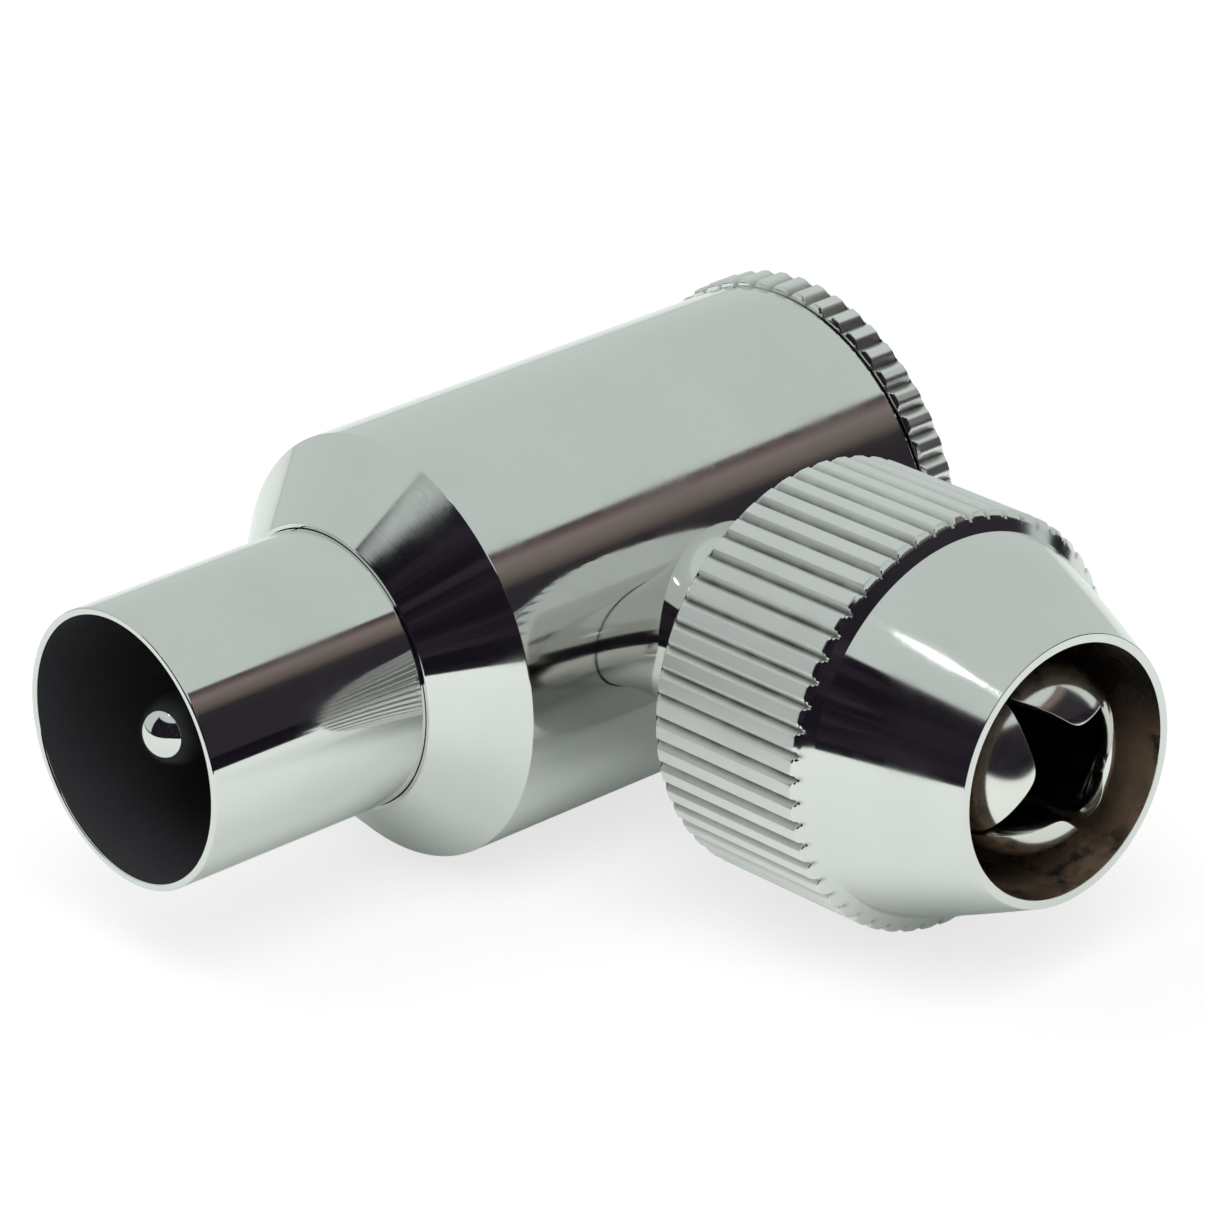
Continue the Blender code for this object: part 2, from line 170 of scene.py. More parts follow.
# Camera and studio. Angles are in degrees, azimuths from +X towards +Y
CAMERA_LENS = 192.0
CAMERA_AZIMUTH = 49.44
CAMERA_ELEVATION = 24.17
CAMERA_DISTANCE = 216.4 * MM
CAMERA_AIM = Vector((0.055, 0.633, -1.132)) * MM
CAMERA_ROLL = -2.13
OPENING_AZIMUTHS = (-30, 158)
OPENING_TOP = 43.5
OPENING_SLOPE = -0.02
OPENING_BLUR = 0.012
HAZE_AZIMUTHS = (70, 125)
HAZE_ELEVATIONS = (22, 44)
HAZE_WAVER = 5
HAZE_BANDS = (
    (0.0, (0.030, 0.026, 0.034)),
    (0.25, (0.034, 0.030, 0.034)),
    (0.48, (0.17, 0.14, 0.125)),
    (0.66, (0.24, 0.20, 0.185)),
    (0.82, (0.11, 0.075, 0.080)),
    (0.95, (0.045, 0.040, 0.036)),
)
LAMP_AZIMUTH = 4.5
LAMP_ELEVATION = 66
LAMP_SPREAD = 1.3
LAMP_BLUR = 1.6
LAMP_STRENGTH = 8.0
TENT_COLOUR = (0.63, 0.70, 0.67)
TENT_ON_MATT = 0.5
ROOM_COLOUR = (0.009, 0.008, 0.012)
ROOM_CLOUD = (0.050, 0.036, 0.052)
SOFT_LAMPS = (("key_lamp", 60, 60, 1.5), ("fill_lamp", -60, 60, 0.6))
SOFT_LAMP_SIZE = 0.35
SOFT_LAMP_DISTANCE = 0.5
FLOOR_SIZE = 1.6
FLOOR_GLOW = 0.72
PAPER_AHEAD = 48 * MM
PAPER_SLOPE = 0.2
PAPER_SIDE = 107 * MM
PAPER_EDGE = 2 * MM
PAPER_COLOUR = (0.82, 0.885, 0.845)
PAPER_GLOW = 0.1


def middle(node):
    low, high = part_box(node)
    return (low + high) / 2


def reach(node, axis):
    """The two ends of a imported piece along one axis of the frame, from where the plug's axes cross."""
    low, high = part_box(node)
    return low[axis] - CROSSING[axis], high[axis] - CROSSING[axis]


def half(node, axis):
    low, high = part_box(node)
    return (high[axis] - low[axis]) / 2


CROSSING = Vector((middle("compression_nut").x, middle("plug_sleeve").y, middle("plug_sleeve").z))
PLUG_AXIS = Matrix.Translation(CROSSING) @ Matrix.Rotation(math.pi / 2, 4, "Y")
CABLE_AXIS = Matrix.Translation(CROSSING) @ Matrix.Rotation(-math.pi / 2, 4, "X")

SLEEVE_REAR, PLUG_MOUTH = reach("plug_sleeve", 0)
BODY_END, COLLAR_END = reach("housing", 0)
CAP_FACE, CAP_BOSS_END = reach("rear_cap", 0)
PIN_REAR, PIN_TIP = reach("centre_pin", 0)
INSULATOR_REAR, INSULATOR_FRONT = reach("pin_insulator", 0)
NECK_REACH = reach("housing", 1)[1]
NUT_START, NUT_MOUTH = reach("compression_nut", 1)
CLAW_BASE, CLAW_TIP = reach("claw_ring", 1)
PLUG_RADIUS = half("plug_sleeve", 2)
BODY_RADIUS = half("housing", 2)
CAP_RADIUS = half("rear_cap", 2)
NUT_RADIUS = half("compression_nut", 2)
BLOCK_RADIUS = half("centre_pin", 2)
INSULATOR_RADIUS = half("pin_insulator", 2)

BODY_FRONT = COLLAR_END - COLLAR_LENGTH
PLUG_SEAT = SLEEVE_REAR - SEAT_CLEARANCE
CHAMBER_END = PLUG_SEAT - SEAT_THICKNESS
CAP_START = CAP_FACE + CAP_FACE_RISE + CAP_KNURL_LENGTH + CAP_RIM_REACH
NECK_RADIUS = CLAW_RADIUS + CLAW_RIM + SEAT_CLEARANCE
THREAD_BORE_RADIUS = BODY_RADIUS - THREAD_WALL
CAP_BOSS_RADIUS = THREAD_BORE_RADIUS - THREAD_CLEARANCE
CAP_HOLLOW_RADIUS = CAP_BOSS_RADIUS - CAP_BOSS_WALL
NUT_THREAD_RADIUS = NECK_RADIUS + THREAD_CLEARANCE
NUT_FRONT = NUT_START + NUT_BARREL
NUT_STEP = NUT_START + NUT_SHOULDER
NUT_GROOVE_FLOOR = NUT_RADIUS - KNURL_DEPTH
NECK_THREAD_START = NUT_START + NECK_PLAIN


# Geometry Nodes


TURNED_INPUTS = (
    ("Profile", "NodeSocketGeometry"),
    ("Columns", "NodeSocketInt"),
    ("Teeth", "NodeSocketInt"),
    ("Tip Radius", "NodeSocketFloat"),
    ("Groove Depth", "NodeSocketFloat"),
    ("Land Share", "NodeSocketFloat"),
    ("Thread Pitch", "NodeSocketFloat"),
    ("Thread Depth", "NodeSocketFloat"),
    ("Finish", "NodeSocketMaterial"),
)


def add_node(tree, kind, **settings):
    made = tree.nodes.new(kind)
    for name, value in settings.items():
        setattr(made, name, value)
    return made


def feed(tree, socket, value):
    """Links an output to a socket, or writes a plain value on it."""
    if isinstance(value, bpy.types.NodeSocket):
        tree.links.new(value, socket)
    else:
        socket.default_value = value


def calc(tree, operation, first, second=0.0, third=0.0):
    made = add_node(tree, "ShaderNodeMath", operation=operation)
    for socket, value in zip(made.inputs, (first, second, third)):
        feed(tree, socket, value)
    return made.outputs[0]


def remap(tree, value, low, high, first=0.0, last=1.0, soft=False):
    """Takes low..high to first..last and clamps outside."""
    made = add_node(tree, "ShaderNodeMapRange", interpolation_type="SMOOTHSTEP" if soft else "LINEAR")
    names = ("Value", "From Min", "From Max", "To Min", "To Max")
    for name, given in zip(names, (value, low, high, first, last)):
        feed(tree, made.inputs[name], given)
    return made.outputs[0]


def profile_value(tree, geometry, value, kind, row):
    """A value of the profile's point number row, read for every point of the grid."""
    made = add_node(tree, "GeometryNodeSampleIndex", data_type=kind, domain="POINT")
    feed(tree, made.inputs["Geometry"], geometry)
    feed(tree, made.inputs["Value"], value)
    feed(tree, made.inputs["Index"], row)
    return made.outputs[0]


def named_value(tree, name):
    made = add_node(tree, "GeometryNodeInputNamedAttribute", data_type="FLOAT")
    made.inputs["Name"].default_value = name
    return made.outputs["Attribute"]


def stored(tree, geometry, name, value):
    """The geometry with a value kept on each point under a name."""
    made = add_node(tree, "GeometryNodeStoreNamedAttribute", data_type="FLOAT", domain="POINT")
    made.inputs["Name"].default_value = name
    feed(tree, made.inputs["Geometry"], geometry)
    feed(tree, made.inputs["Value"], value)
    return made.outputs[0]


def turned_grid(tree, given):
    """A flat grid with a row for each profile point, and the share of a turn and the row of its points."""
    count = add_node(tree, "GeometryNodeAttributeDomainSize", component="MESH")
    feed(tree, count.inputs["Geometry"], given["Profile"])
    rows = count.outputs["Point Count"]
    grid = add_node(tree, "GeometryNodeMeshGrid")
    for name, value in (("Size X", 1.0), ("Size Y", 1.0), ("Vertices Y", rows)):
        feed(tree, grid.inputs[name], value)
    feed(tree, grid.inputs["Vertices X"], calc(tree, "ADD", given["Columns"], 1.0))
    place = add_node(tree, "ShaderNodeSeparateXYZ")
    feed(tree, place.inputs[0], add_node(tree, "GeometryNodeInputPosition").outputs[0])
    turn = calc(tree, "ADD", place.outputs["X"], 0.5)
    row_share = calc(tree, "ADD", place.outputs["Y"], 0.5)
    row = calc(tree, "ROUND", calc(tree, "MULTIPLY", row_share, calc(tree, "SUBTRACT", rows, 1.0)))
    return grid.outputs["Mesh"], turn, row


def tooth_cut(tree, turn, given):
    """How deep the knurl is cut at a turn: 0 on a tooth's land, 1 at the bottom of the groove."""
    tooth = calc(tree, "FRACT", calc(tree, "MULTIPLY_ADD", turn, given["Teeth"], 0.5))
    from_middle = calc(tree, "ABSOLUTE", calc(tree, "MULTIPLY_ADD", tooth, 2.0, -1.0))
    return remap(tree, from_middle, given["Land Share"], 1.0)


def thread_cut(tree, along, turn, given):
    """How deep the thread is cut at a place: 0 on its crest, 1 in its root."""
    turns = calc(tree, "SUBTRACT", calc(tree, "DIVIDE", along, given["Thread Pitch"]), turn)
    flank = calc(tree, "ABSOLUTE", calc(tree, "MULTIPLY_ADD", calc(tree, "FRACT", turns), 2.0, -1.0))
    return remap(tree, flank, THREAD_FLAT, 1 - THREAD_FLAT)


def round_point(tree, radius, turn, along):
    """A place from a radius, a share of a full turn and a height."""
    angle = calc(tree, "MULTIPLY", turn, 2 * math.pi)
    point = add_node(tree, "ShaderNodeCombineXYZ")
    feed(tree, point.inputs["X"], calc(tree, "MULTIPLY", radius, calc(tree, "COSINE", angle)))
    feed(tree, point.inputs["Y"], calc(tree, "MULTIPLY", radius, calc(tree, "SINE", angle)))
    feed(tree, point.inputs["Z"], along)
    return point.outputs[0]


def build_turned_tree():
    """Turns a profile round Z, with teeth where it is marked knurl and a thread where marked thread."""
    tree = bpy.data.node_groups.new("turned_piece", "GeometryNodeTree")
    for name, kind in TURNED_INPUTS:
        tree.interface.new_socket(name, in_out="INPUT", socket_type=kind)
    tree.interface.new_socket("Geometry", in_out="OUTPUT", socket_type="NodeSocketGeometry")
    given = add_node(tree, "NodeGroupInput").outputs
    grid, turn, row = turned_grid(tree, given)
    spot = add_node(tree, "ShaderNodeSeparateXYZ")
    at = add_node(tree, "GeometryNodeInputPosition").outputs[0]
    feed(tree, spot.inputs[0], profile_value(tree, given["Profile"], at, "FLOAT_VECTOR", row))
    radius, along = spot.outputs["X"], spot.outputs["Z"]
    knurl = profile_value(tree, given["Profile"], named_value(tree, "knurl"), "FLOAT", row)
    thread = profile_value(tree, given["Profile"], named_value(tree, "thread"), "FLOAT", row)

    cut = tooth_cut(tree, turn, given)
    toothed = calc(tree, "SUBTRACT", given["Tip Radius"], calc(tree, "MULTIPLY", cut, given["Groove Depth"]))
    lowered = calc(tree, "MINIMUM", toothed, radius)
    toothed_by = calc(tree, "MULTIPLY", calc(tree, "SUBTRACT", lowered, radius), knurl)
    cleft = thread_cut(tree, along, turn, given)
    threaded_by = calc(tree, "MULTIPLY", calc(tree, "MULTIPLY", cleft, given["Thread Depth"]), thread)
    final = calc(tree, "SUBTRACT", calc(tree, "ADD", radius, toothed_by), threaded_by)

    groove = calc(tree, "MAXIMUM", calc(tree, "MULTIPLY", cut, knurl), calc(tree, "MULTIPLY", cleft, thread))
    on_tips = calc(tree, "GREATER_THAN", radius, calc(tree, "SUBTRACT", given["Tip Radius"], SEAM))
    marked = stored(tree, grid, "groove", groove)
    marked = stored(tree, marked, "knurled", calc(tree, "MULTIPLY", knurl, on_tips))
    bent = add_node(tree, "GeometryNodeSetPosition")
    feed(tree, bent.inputs["Geometry"], marked)
    feed(tree, bent.inputs["Position"], round_point(tree, final, turn, along))
    sewn = add_node(tree, "GeometryNodeMergeByDistance")
    feed(tree, sewn.inputs["Geometry"], bent.outputs[0])
    feed(tree, sewn.inputs["Distance"], SEAM)
    plain = add_node(tree, "GeometryNodeRealizeInstances")
    feed(tree, plain.inputs[0], sewn.outputs[0])
    finished = add_node(tree, "GeometryNodeSetMaterial")
    feed(tree, finished.inputs["Geometry"], plain.outputs[0])
    feed(tree, finished.inputs["Material"], given["Finish"])
    feed(tree, add_node(tree, "NodeGroupOutput").inputs[0], finished.outputs[0])
    return tree


def outline(corners, spacing=None, closed=False):
    """Points (along, radius) through corners (along, radius, rounding), with long runs divided."""
    points = []
    for index, (along, radius, edge) in enumerate(corners):
        here = Vector((along, radius))
        if edge == 0:
            points.append(here)
            continue
        back = (Vector(corners[index - 1][:2]) - here).normalized()
        ahead = (Vector(corners[(index + 1) % len(corners)][:2]) - here).normalized()
        points.append(here + back * (edge + HOLD))
        for step in range(EDGE_STEPS + 1):
            share = step / EDGE_STEPS
            pull = back * edge * (1 - share) ** 2 + ahead * edge * share ** 2
            points.append(here + pull)
        points.append(here + ahead * (edge + HOLD))
    if closed:
        points.append(points[0])
    if spacing is None:
        return points
    filled = [points[0]]
    for first, second in zip(points, points[1:]):
        parts = max(1, math.ceil((second - first).length / spacing))
        filled += [first.lerp(second, part / parts) for part in range(1, parts + 1)]
    return filled


def no_mark(point):
    return 0.0


def knurl_sizes(teeth, tip, land):
    return {"Teeth": teeth, "Tip Radius": tip, "Groove Depth": KNURL_DEPTH, "Land Share": land}


def turned(name, points, finish, axis, columns=ROUND_COLUMNS, knurl=no_mark, thread=no_mark, **sizes):
    """A mesh turned from profile points, in the frame, made by the Geometry Nodes tree."""
    mesh = bpy.data.meshes.new(name)
    edges = [(i, i + 1) for i in range(len(points) - 1)]
    mesh.from_pydata([(radius, 0, along) for along, radius in points], edges, [])
    for mark, rule in (("knurl", knurl), ("thread", thread)):
        layer = mesh.attributes.new(mark, "FLOAT", "POINT")
        for index, point in enumerate(points):
            layer.data[index].value = rule(point)
    carrier = bpy.data.objects.new(name, mesh)
    bpy.context.scene.collection.objects.link(carrier)
    step = carrier.modifiers.new("turning", "NODES")
    step.node_group = TURNED
    given = {
        "Columns": columns,
        "Finish": finish,
        "Thread Pitch": THREAD_PITCH,
        "Thread Depth": THREAD_DEPTH,
        **sizes,
    }
    for item in TURNED.interface.items_tree:
        if item.in_out == "INPUT" and item.name in given:
            step[item.identifier] = given[item.name]
    bpy.context.view_layer.update()
    ready = carrier.evaluated_get(bpy.context.evaluated_depsgraph_get())
    result = bpy.data.meshes.new_from_object(ready)
    bpy.data.objects.remove(carrier)
    result.materials.clear()
    result.materials.append(finish)
    result.polygons.foreach_set("material_index", [0] * len(result.polygons))
    result.transform(axis)
    face_outwards(result)
    return result


def face_outwards(mesh):
    bm = bmesh.new()
    bm.from_mesh(mesh)
    bmesh.ops.recalc_face_normals(bm, faces=bm.faces)
    bm.to_mesh(mesh)
    bm.free()


def smooth(mesh, angle=32):
    mesh.shade_smooth()
    mesh.set_sharp_from_angle(angle=math.radians(angle))


def show(name, mesh, body, slot, *nodes):
    """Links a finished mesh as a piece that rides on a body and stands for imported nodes."""
    obj = bpy.data.objects.new(name, mesh)
    bpy.context.scene.collection.objects.link(obj)
    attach(obj, body)
    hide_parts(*nodes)
    return obj


def applied(obj):
    """The object's mesh with its modifiers, as a plain mesh. The object goes."""
    bpy.context.view_layer.update()
    mesh = bpy.data.meshes.new_from_object(obj.evaluated_get(bpy.context.evaluated_depsgraph_get()))
    bpy.data.objects.remove(obj)
    return mesh


def joined_or_cut(name, base, others):
    """Joins meshes to a base mesh, or cuts them out of it."""
    obj = bpy.data.objects.new(name, base)
    bpy.context.scene.collection.objects.link(obj)
    helpers = []
    for index, (mesh, operation) in enumerate(others):
        helper = bpy.data.objects.new("shape_%d" % index, mesh)
        bpy.context.scene.collection.objects.link(helper)
        helpers.append(helper)
        step = obj.modifiers.new(helper.name, "BOOLEAN")
        step.object = helper
        step.operation = operation
        step.solver = "EXACT"
    mesh = applied(obj)
    for helper in helpers:
        bpy.data.objects.remove(helper)
    return mesh


def true_round_normals(mesh, rounds):
    """Gives the corners on each round surface the exact normal of that cylinder or cone."""
    corners = len(mesh.loops)
    normals = np.empty(corners * 3, np.float32)
    mesh.corner_normals.foreach_get("vector", normals)
    normals = normals.reshape(-1, 3)
    owner = np.empty(corners, np.int32)
    mesh.loops.foreach_get("vertex_index", owner)
    points = np.empty(len(mesh.vertices) * 3, np.float32)
    mesh.vertices.foreach_get("co", points)
    points = points.reshape(-1, 3)[owner]
    faces = len(mesh.polygons)
    facing = np.empty(faces * 3, np.float32)
    mesh.polygons.foreach_get("normal", facing)
    sizes = np.empty(faces, np.int32)
    mesh.polygons.foreach_get("loop_total", sizes)
    face_of = np.repeat(np.arange(faces), sizes)
    facing = facing.reshape(-1, 3)[face_of]
    for axis, start, start_radius, end, end_radius in rounds:
        way = np.array(axis.to_3x3() @ Vector((0, 0, 1)))
        offset = points - np.array(CROSSING)
        along = offset @ way
        radial = offset - along[:, None] * way
        distance = np.linalg.norm(radial, axis=1)
        radial /= np.maximum(distance, SEAM)[:, None]
        slope = (end_radius - start_radius) / (end - start)
        wanted = start_radius + slope * (along - start)
        true = radial - slope * way
        true /= np.linalg.norm(true, axis=1)[:, None]
        low, high = min(start, end), max(start, end)
        on = (abs(distance - wanted) < 4 * SEAM) & (along > low - SEAM) & (along < high + SEAM)
        on &= (true * facing).sum(1) > 0.9
        whole = np.bincount(face_of, weights=~on, minlength=faces) == 0
        chosen = whole[face_of]
        normals[chosen] = true[chosen]
    mesh.normals_split_custom_set(normals.tolist())


# Finishes


def group_tree(name, inputs, outputs):
    tree = bpy.data.node_groups.new(name, "ShaderNodeTree")
    for socket, kind in inputs:
        tree.interface.new_socket(socket, in_out="INPUT", socket_type=kind)
    for socket, kind in outputs:
        tree.interface.new_socket(socket, in_out="OUTPUT", socket_type=kind)
    return tree, add_node(tree, "NodeGroupInput").outputs, add_node(tree, "NodeGroupOutput").inputs


def noise(tree, vector, scale, detail=2.0, roughness=0.5):
    made = add_node(tree, "ShaderNodeTexNoise")
    for name, value in (("Vector", vector), ("Scale", scale), ("Detail", detail), ("Roughness", roughness)):
        feed(tree, made.inputs[name], value)
    return made.outputs[0]


def stretched(tree, vector, factors):
    made = add_node(tree, "ShaderNodeVectorMath", operation="MULTIPLY")
    feed(tree, made.inputs[0], vector)
    feed(tree, made.inputs[1], factors)
    return made.outputs[0]


def turned_by(tree, vector, angles):
    made = add_node(tree, "ShaderNodeVectorRotate", rotation_type="EULER_XYZ")
    feed(tree, made.inputs["Vector"], vector)
    feed(tree, made.inputs["Rotation"], angles)
    return made.outputs[0]


def mixed(tree, share, first, second):
    made = add_node(tree, "ShaderNodeMix", data_type="RGBA")
    feed(tree, made.inputs[0], share)
    feed(tree, made.inputs[6], first)
    feed(tree, made.inputs[7], second)
    return made.outputs[2]


def banded(tree, share, bands):
    """A colour that changes with a share from 0 to 1, through the given places and colours."""
    made = add_node(tree, "ShaderNodeValToRGB")
    feed(tree, made.inputs[0], share)
    stops = made.color_ramp.elements
    while len(stops) < len(bands):
        stops.new(1.0)
    for stop, (place, colour) in zip(stops, bands):
        stop.position = place
        stop.color = (*colour, 1)
    return made.outputs[0]


def build_marks_group():
    """Turning lines, hairline scratches and handling smudges on a metal surface."""
    inputs = (
        ("Vector", "NodeSocketVector"),
        ("Lay", "NodeSocketVector"),
        ("Line Scale", "NodeSocketFloat"),
        ("Scratch Scale", "NodeSocketFloat"),
        ("Smudge Scale", "NodeSocketFloat"),
    )
    outputs = [(name, "NodeSocketFloat") for name in ("Lines", "Scratches", "Smudges")]
    tree, given, out = group_tree("metal_marks", inputs, outputs)
    lines = noise(tree, stretched(tree, given["Vector"], given["Lay"]), given["Line Scale"], 3.0, 0.6)
    feed(tree, out["Lines"], lines)
    hairs = 0.0
    for angles in SCRATCH_WAYS:
        run = stretched(tree, turned_by(tree, given["Vector"], angles), (1.0, 45.0, 45.0))
        drawn = noise(tree, run, given["Scratch Scale"], 1.0)
        crossing = calc(tree, "ABSOLUTE", calc(tree, "SUBTRACT", drawn, 0.5))
        hair = remap(tree, crossing, 0.0, 0.02, 1.0, 0.0)
        broken = remap(tree, noise(tree, given["Vector"], given["Scratch Scale"], 1.0), 0.52, 0.62)
        hairs = calc(tree, "MAXIMUM", hairs, calc(tree, "MULTIPLY", hair, broken))
    feed(tree, out["Scratches"], hairs)
    cloud = noise(tree, given["Vector"], given["Smudge Scale"], 5.0, 0.62)
    feed(tree, out["Smudges"], remap(tree, cloud, 0.42, 0.66, soft=True))
    return tree


def build_grime_and_shade_group():
    """Darkens a colour in grooves, unevenly, with soiling and painted shade, and gives the mask that a
    finish dulls its gloss with.
    """
    inputs = (
        ("Vector", "NodeSocketVector"),
        ("Groove", "NodeSocketFloat"),
        ("Colour", "NodeSocketColor"),
        ("Grime", "NodeSocketColor"),
        ("Amount", "NodeSocketFloat"),
    )
    outputs = (("Colour", "NodeSocketColor"), ("Mask", "NodeSocketFloat"))
    tree, given, out = group_tree("groove_grime_and_shade", inputs, outputs)
    patchy = remap(tree, noise(tree, given["Vector"], 900.0, 3.0), 0.3, 0.7, 0.45, 1.0)
    deep = calc(tree, "POWER", given["Groove"], 1.5)
    mask = calc(tree, "MULTIPLY", deep, calc(tree, "MULTIPLY", patchy, given["Amount"]))
    feed(tree, out["Colour"], mixed(tree, mask, given["Colour"], given["Grime"]))
    feed(tree, out["Mask"], mask)
    return tree


def build_grain_group():
    """The fine uneven skin of moulded plastic or fibre."""
    inputs = (("Vector", "NodeSocketVector"), ("Scale", "NodeSocketFloat"))
    outputs = (("Height", "NodeSocketFloat"), ("Cloud", "NodeSocketFloat"))
    tree, given, out = group_tree("moulded_grain", inputs, outputs)
    fine = noise(tree, given["Vector"], given["Scale"], 4.0, 0.7)
    pits = add_node(tree, "ShaderNodeTexVoronoi")
    feed(tree, pits.inputs["Vector"], given["Vector"])
    feed(tree, pits.inputs["Scale"], given["Scale"])
    height = calc(tree, "ADD", fine, calc(tree, "MULTIPLY", pits.outputs["Distance"], 0.4))
    feed(tree, out["Height"], height)
    feed(tree, out["Cloud"], noise(tree, given["Vector"], 260.0, 3.0))
    return tree


def group_node(tree, group, **values):
    made = add_node(tree, "ShaderNodeGroup", node_tree=group)
    for name, value in values.items():
        feed(tree, made.inputs[name.replace("_", " ")], value)
    return made.outputs


def new_finish(name):
    made = bpy.data.materials.new(name)
    made.use_nodes = True
    tree = made.node_tree
    place = add_node(tree, "ShaderNodeTexCoord").outputs["Object"]
    return made, tree, tree.nodes["Principled BSDF"].inputs, place


def bump(tree, height, strength, distance):
    made = add_node(tree, "ShaderNodeBump")
    made.inputs["Strength"].default_value = strength
    made.inputs["Distance"].default_value = distance
    feed(tree, made.inputs["Height"], height)
    return made.outputs[0]


def metal_marks(tree, place, lay, smudge_scale):
    return group_node(
        tree,
        MARKS,
        Vector=place,
        Lay=lay,
        Line_Scale=LINE_SCALE,
        Scratch_Scale=SCRATCH_SCALE,
        Smudge_Scale=smudge_scale,
    )


def mark_on(tree, name):
    """A value that the Geometry Nodes tree has kept on the mesh."""
    return add_node(tree, "ShaderNodeAttribute", attribute_name=name).outputs["Fac"]


def metal_finish(name, colour, grime_and_shade_colour, gloss, lay, grime_and_shade_amount=0.85, knurl_dull_and_sheen=0.0, metallic=1.0):
    """Plated or bare metal: turning lines, hairlines, smudges, soiling and painted shade where a groove is
    marked, and a painted sheen on knurled lands.
    """
    made, tree, shader, place = new_finish(name)
    marks = metal_marks(tree, place, lay, SMUDGE_SCALE)
    knurled = mark_on(tree, "knurled")
    smudge = calc(tree, "MULTIPLY", marks["Smudges"], SMUDGE_SHARE)
    smudged = mixed(tree, smudge, (*colour, 1), (*[c * SMUDGE_DARKER for c in colour], 1))
    # Painted sheen: knurled lands turn paler, as well as rougher below
    sheen_share = calc(tree, "MULTIPLY", knurled, min(1.0, 2 * knurl_dull_and_sheen))
    clean = mixed(tree, sheen_share, smudged, (*KNURL_SHEEN_PALE, 1))
    # Soiling and painted shade darken the grooves
    groove = mark_on(tree, "groove")
    grime_and_shade_mix = group_node(
        tree, GRIME_AND_SHADE, Vector=place, Groove=groove, Colour=clean, Grime=(*grime_and_shade_colour, 1), Amount=grime_and_shade_amount
    )
    feed(tree, shader["Base Color"], grime_and_shade_mix["Colour"])
    rough = remap(tree, marks["Smudges"], 0.0, 1.0, *gloss)
    rough = calc(tree, "MULTIPLY_ADD", marks["Scratches"], SCRATCH_DULLING, rough)
    rough = calc(tree, "MULTIPLY_ADD", knurled, knurl_dull_and_sheen, rough)
    rough = calc(tree, "MULTIPLY_ADD", grime_and_shade_mix["Mask"], GRIME_DULLING, rough)
    feed(tree, shader["Roughness"], rough)
    shader["Metallic"].default_value = metallic
    waves = calc(tree, "MULTIPLY", marks["Lines"], 0.5)
    height = calc(tree, "MULTIPLY_ADD", marks["Scratches"], -0.2, waves)
    feed(tree, shader["Normal"], bump(tree, height, 0.12, 0.004 * MM))
    return made


def bore_finish(name, colour, stain_and_shade_colour, gloss, lay):
    """A dim brown, partly metallic bore: the brown is painted reflection and shade of the bore's inside,
    dark stains lie in patches, and painted shade darkens its upper side.
    """
    made, tree, shader, place = new_finish(name)
    marks = metal_marks(tree, place, lay, BORE_SMUDGE_SCALE)
    patches = noise(tree, place, BORE_PATCH_SCALE, 5.0, 0.65)
    spot = add_node(tree, "ShaderNodeSeparateXYZ")
    feed(tree, spot.inputs[0], place)
    # Painted shade: the bore darkens towards its upper side. The patches are stains.
    above = calc(tree, "SUBTRACT", spot.outputs["Z"], CROSSING.z)
    shade_above = remap(tree, above, *BORE_SHADE_HEIGHTS, soft=True)
    stain_and_shade = calc(tree, "MAXIMUM", shade_above, remap(tree, patches, 0.44, 0.58, soft=True))
    drawn = mixed(tree, stain_and_shade, (*colour, 1), (*stain_and_shade_colour, 1))
    feed(tree, shader["Base Color"], mixed(tree, marks["Smudges"], drawn, (*[c * 0.6 for c in colour], 1)))
    feed(tree, shader["Roughness"], remap(tree, marks["Smudges"], 0.0, 1.0, *gloss))
    shader["Metallic"].default_value = BORE_METALLIC
    feed(tree, shader["Normal"], bump(tree, calc(tree, "ADD", marks["Lines"], patches), 0.35, 0.012 * MM))
    return made


def plastic_finish(name, colour, sheen_share, gloss, grain_scale):
    """Moulded plastic or fibre board, slightly cloudy, with a fine grain."""
    made, tree, shader, place = new_finish(name)
    grain = group_node(tree, GRAIN, Vector=place, Scale=grain_scale)
    feed(tree, shader["Base Color"], mixed(tree, grain["Cloud"], (*colour, 1), (*sheen_share, 1)))
    feed(tree, shader["Roughness"], remap(tree, grain["Cloud"], 0.3, 0.7, *gloss))
    feed(tree, shader["Normal"], bump(tree, grain["Height"], 0.25, 0.01 * MM))
    return made


# Pieces


def make_neck():
    """The neck for the cable. Its thread fades in past the plain part that shows behind the nut."""

    def threaded(point):
        if point[1] < NECK_RADIUS - SEAM or point[0] < NECK_THREAD_START:
            return 0.0
        return min(1.0, (point[0] - NECK_THREAD_START) / THREAD_PITCH)

    corners = (
        (0, 0, 0),
        (0, NECK_RADIUS, 0),
        (NECK_THREAD_START, NECK_RADIUS, 0),
        (NECK_REACH - NECK_CHAMFER, NECK_RADIUS, 0),
        (NECK_REACH, NECK_RADIUS - NECK_CHAMFER, 0),
        (NECK_REACH, 0, 0),
    )
    rows = outline(corners, THREAD_PITCH / THREAD_STEPS)
    return turned("housing_neck", rows, NICKEL_ALONG_PLUG, CABLE_AXIS, thread=threaded)


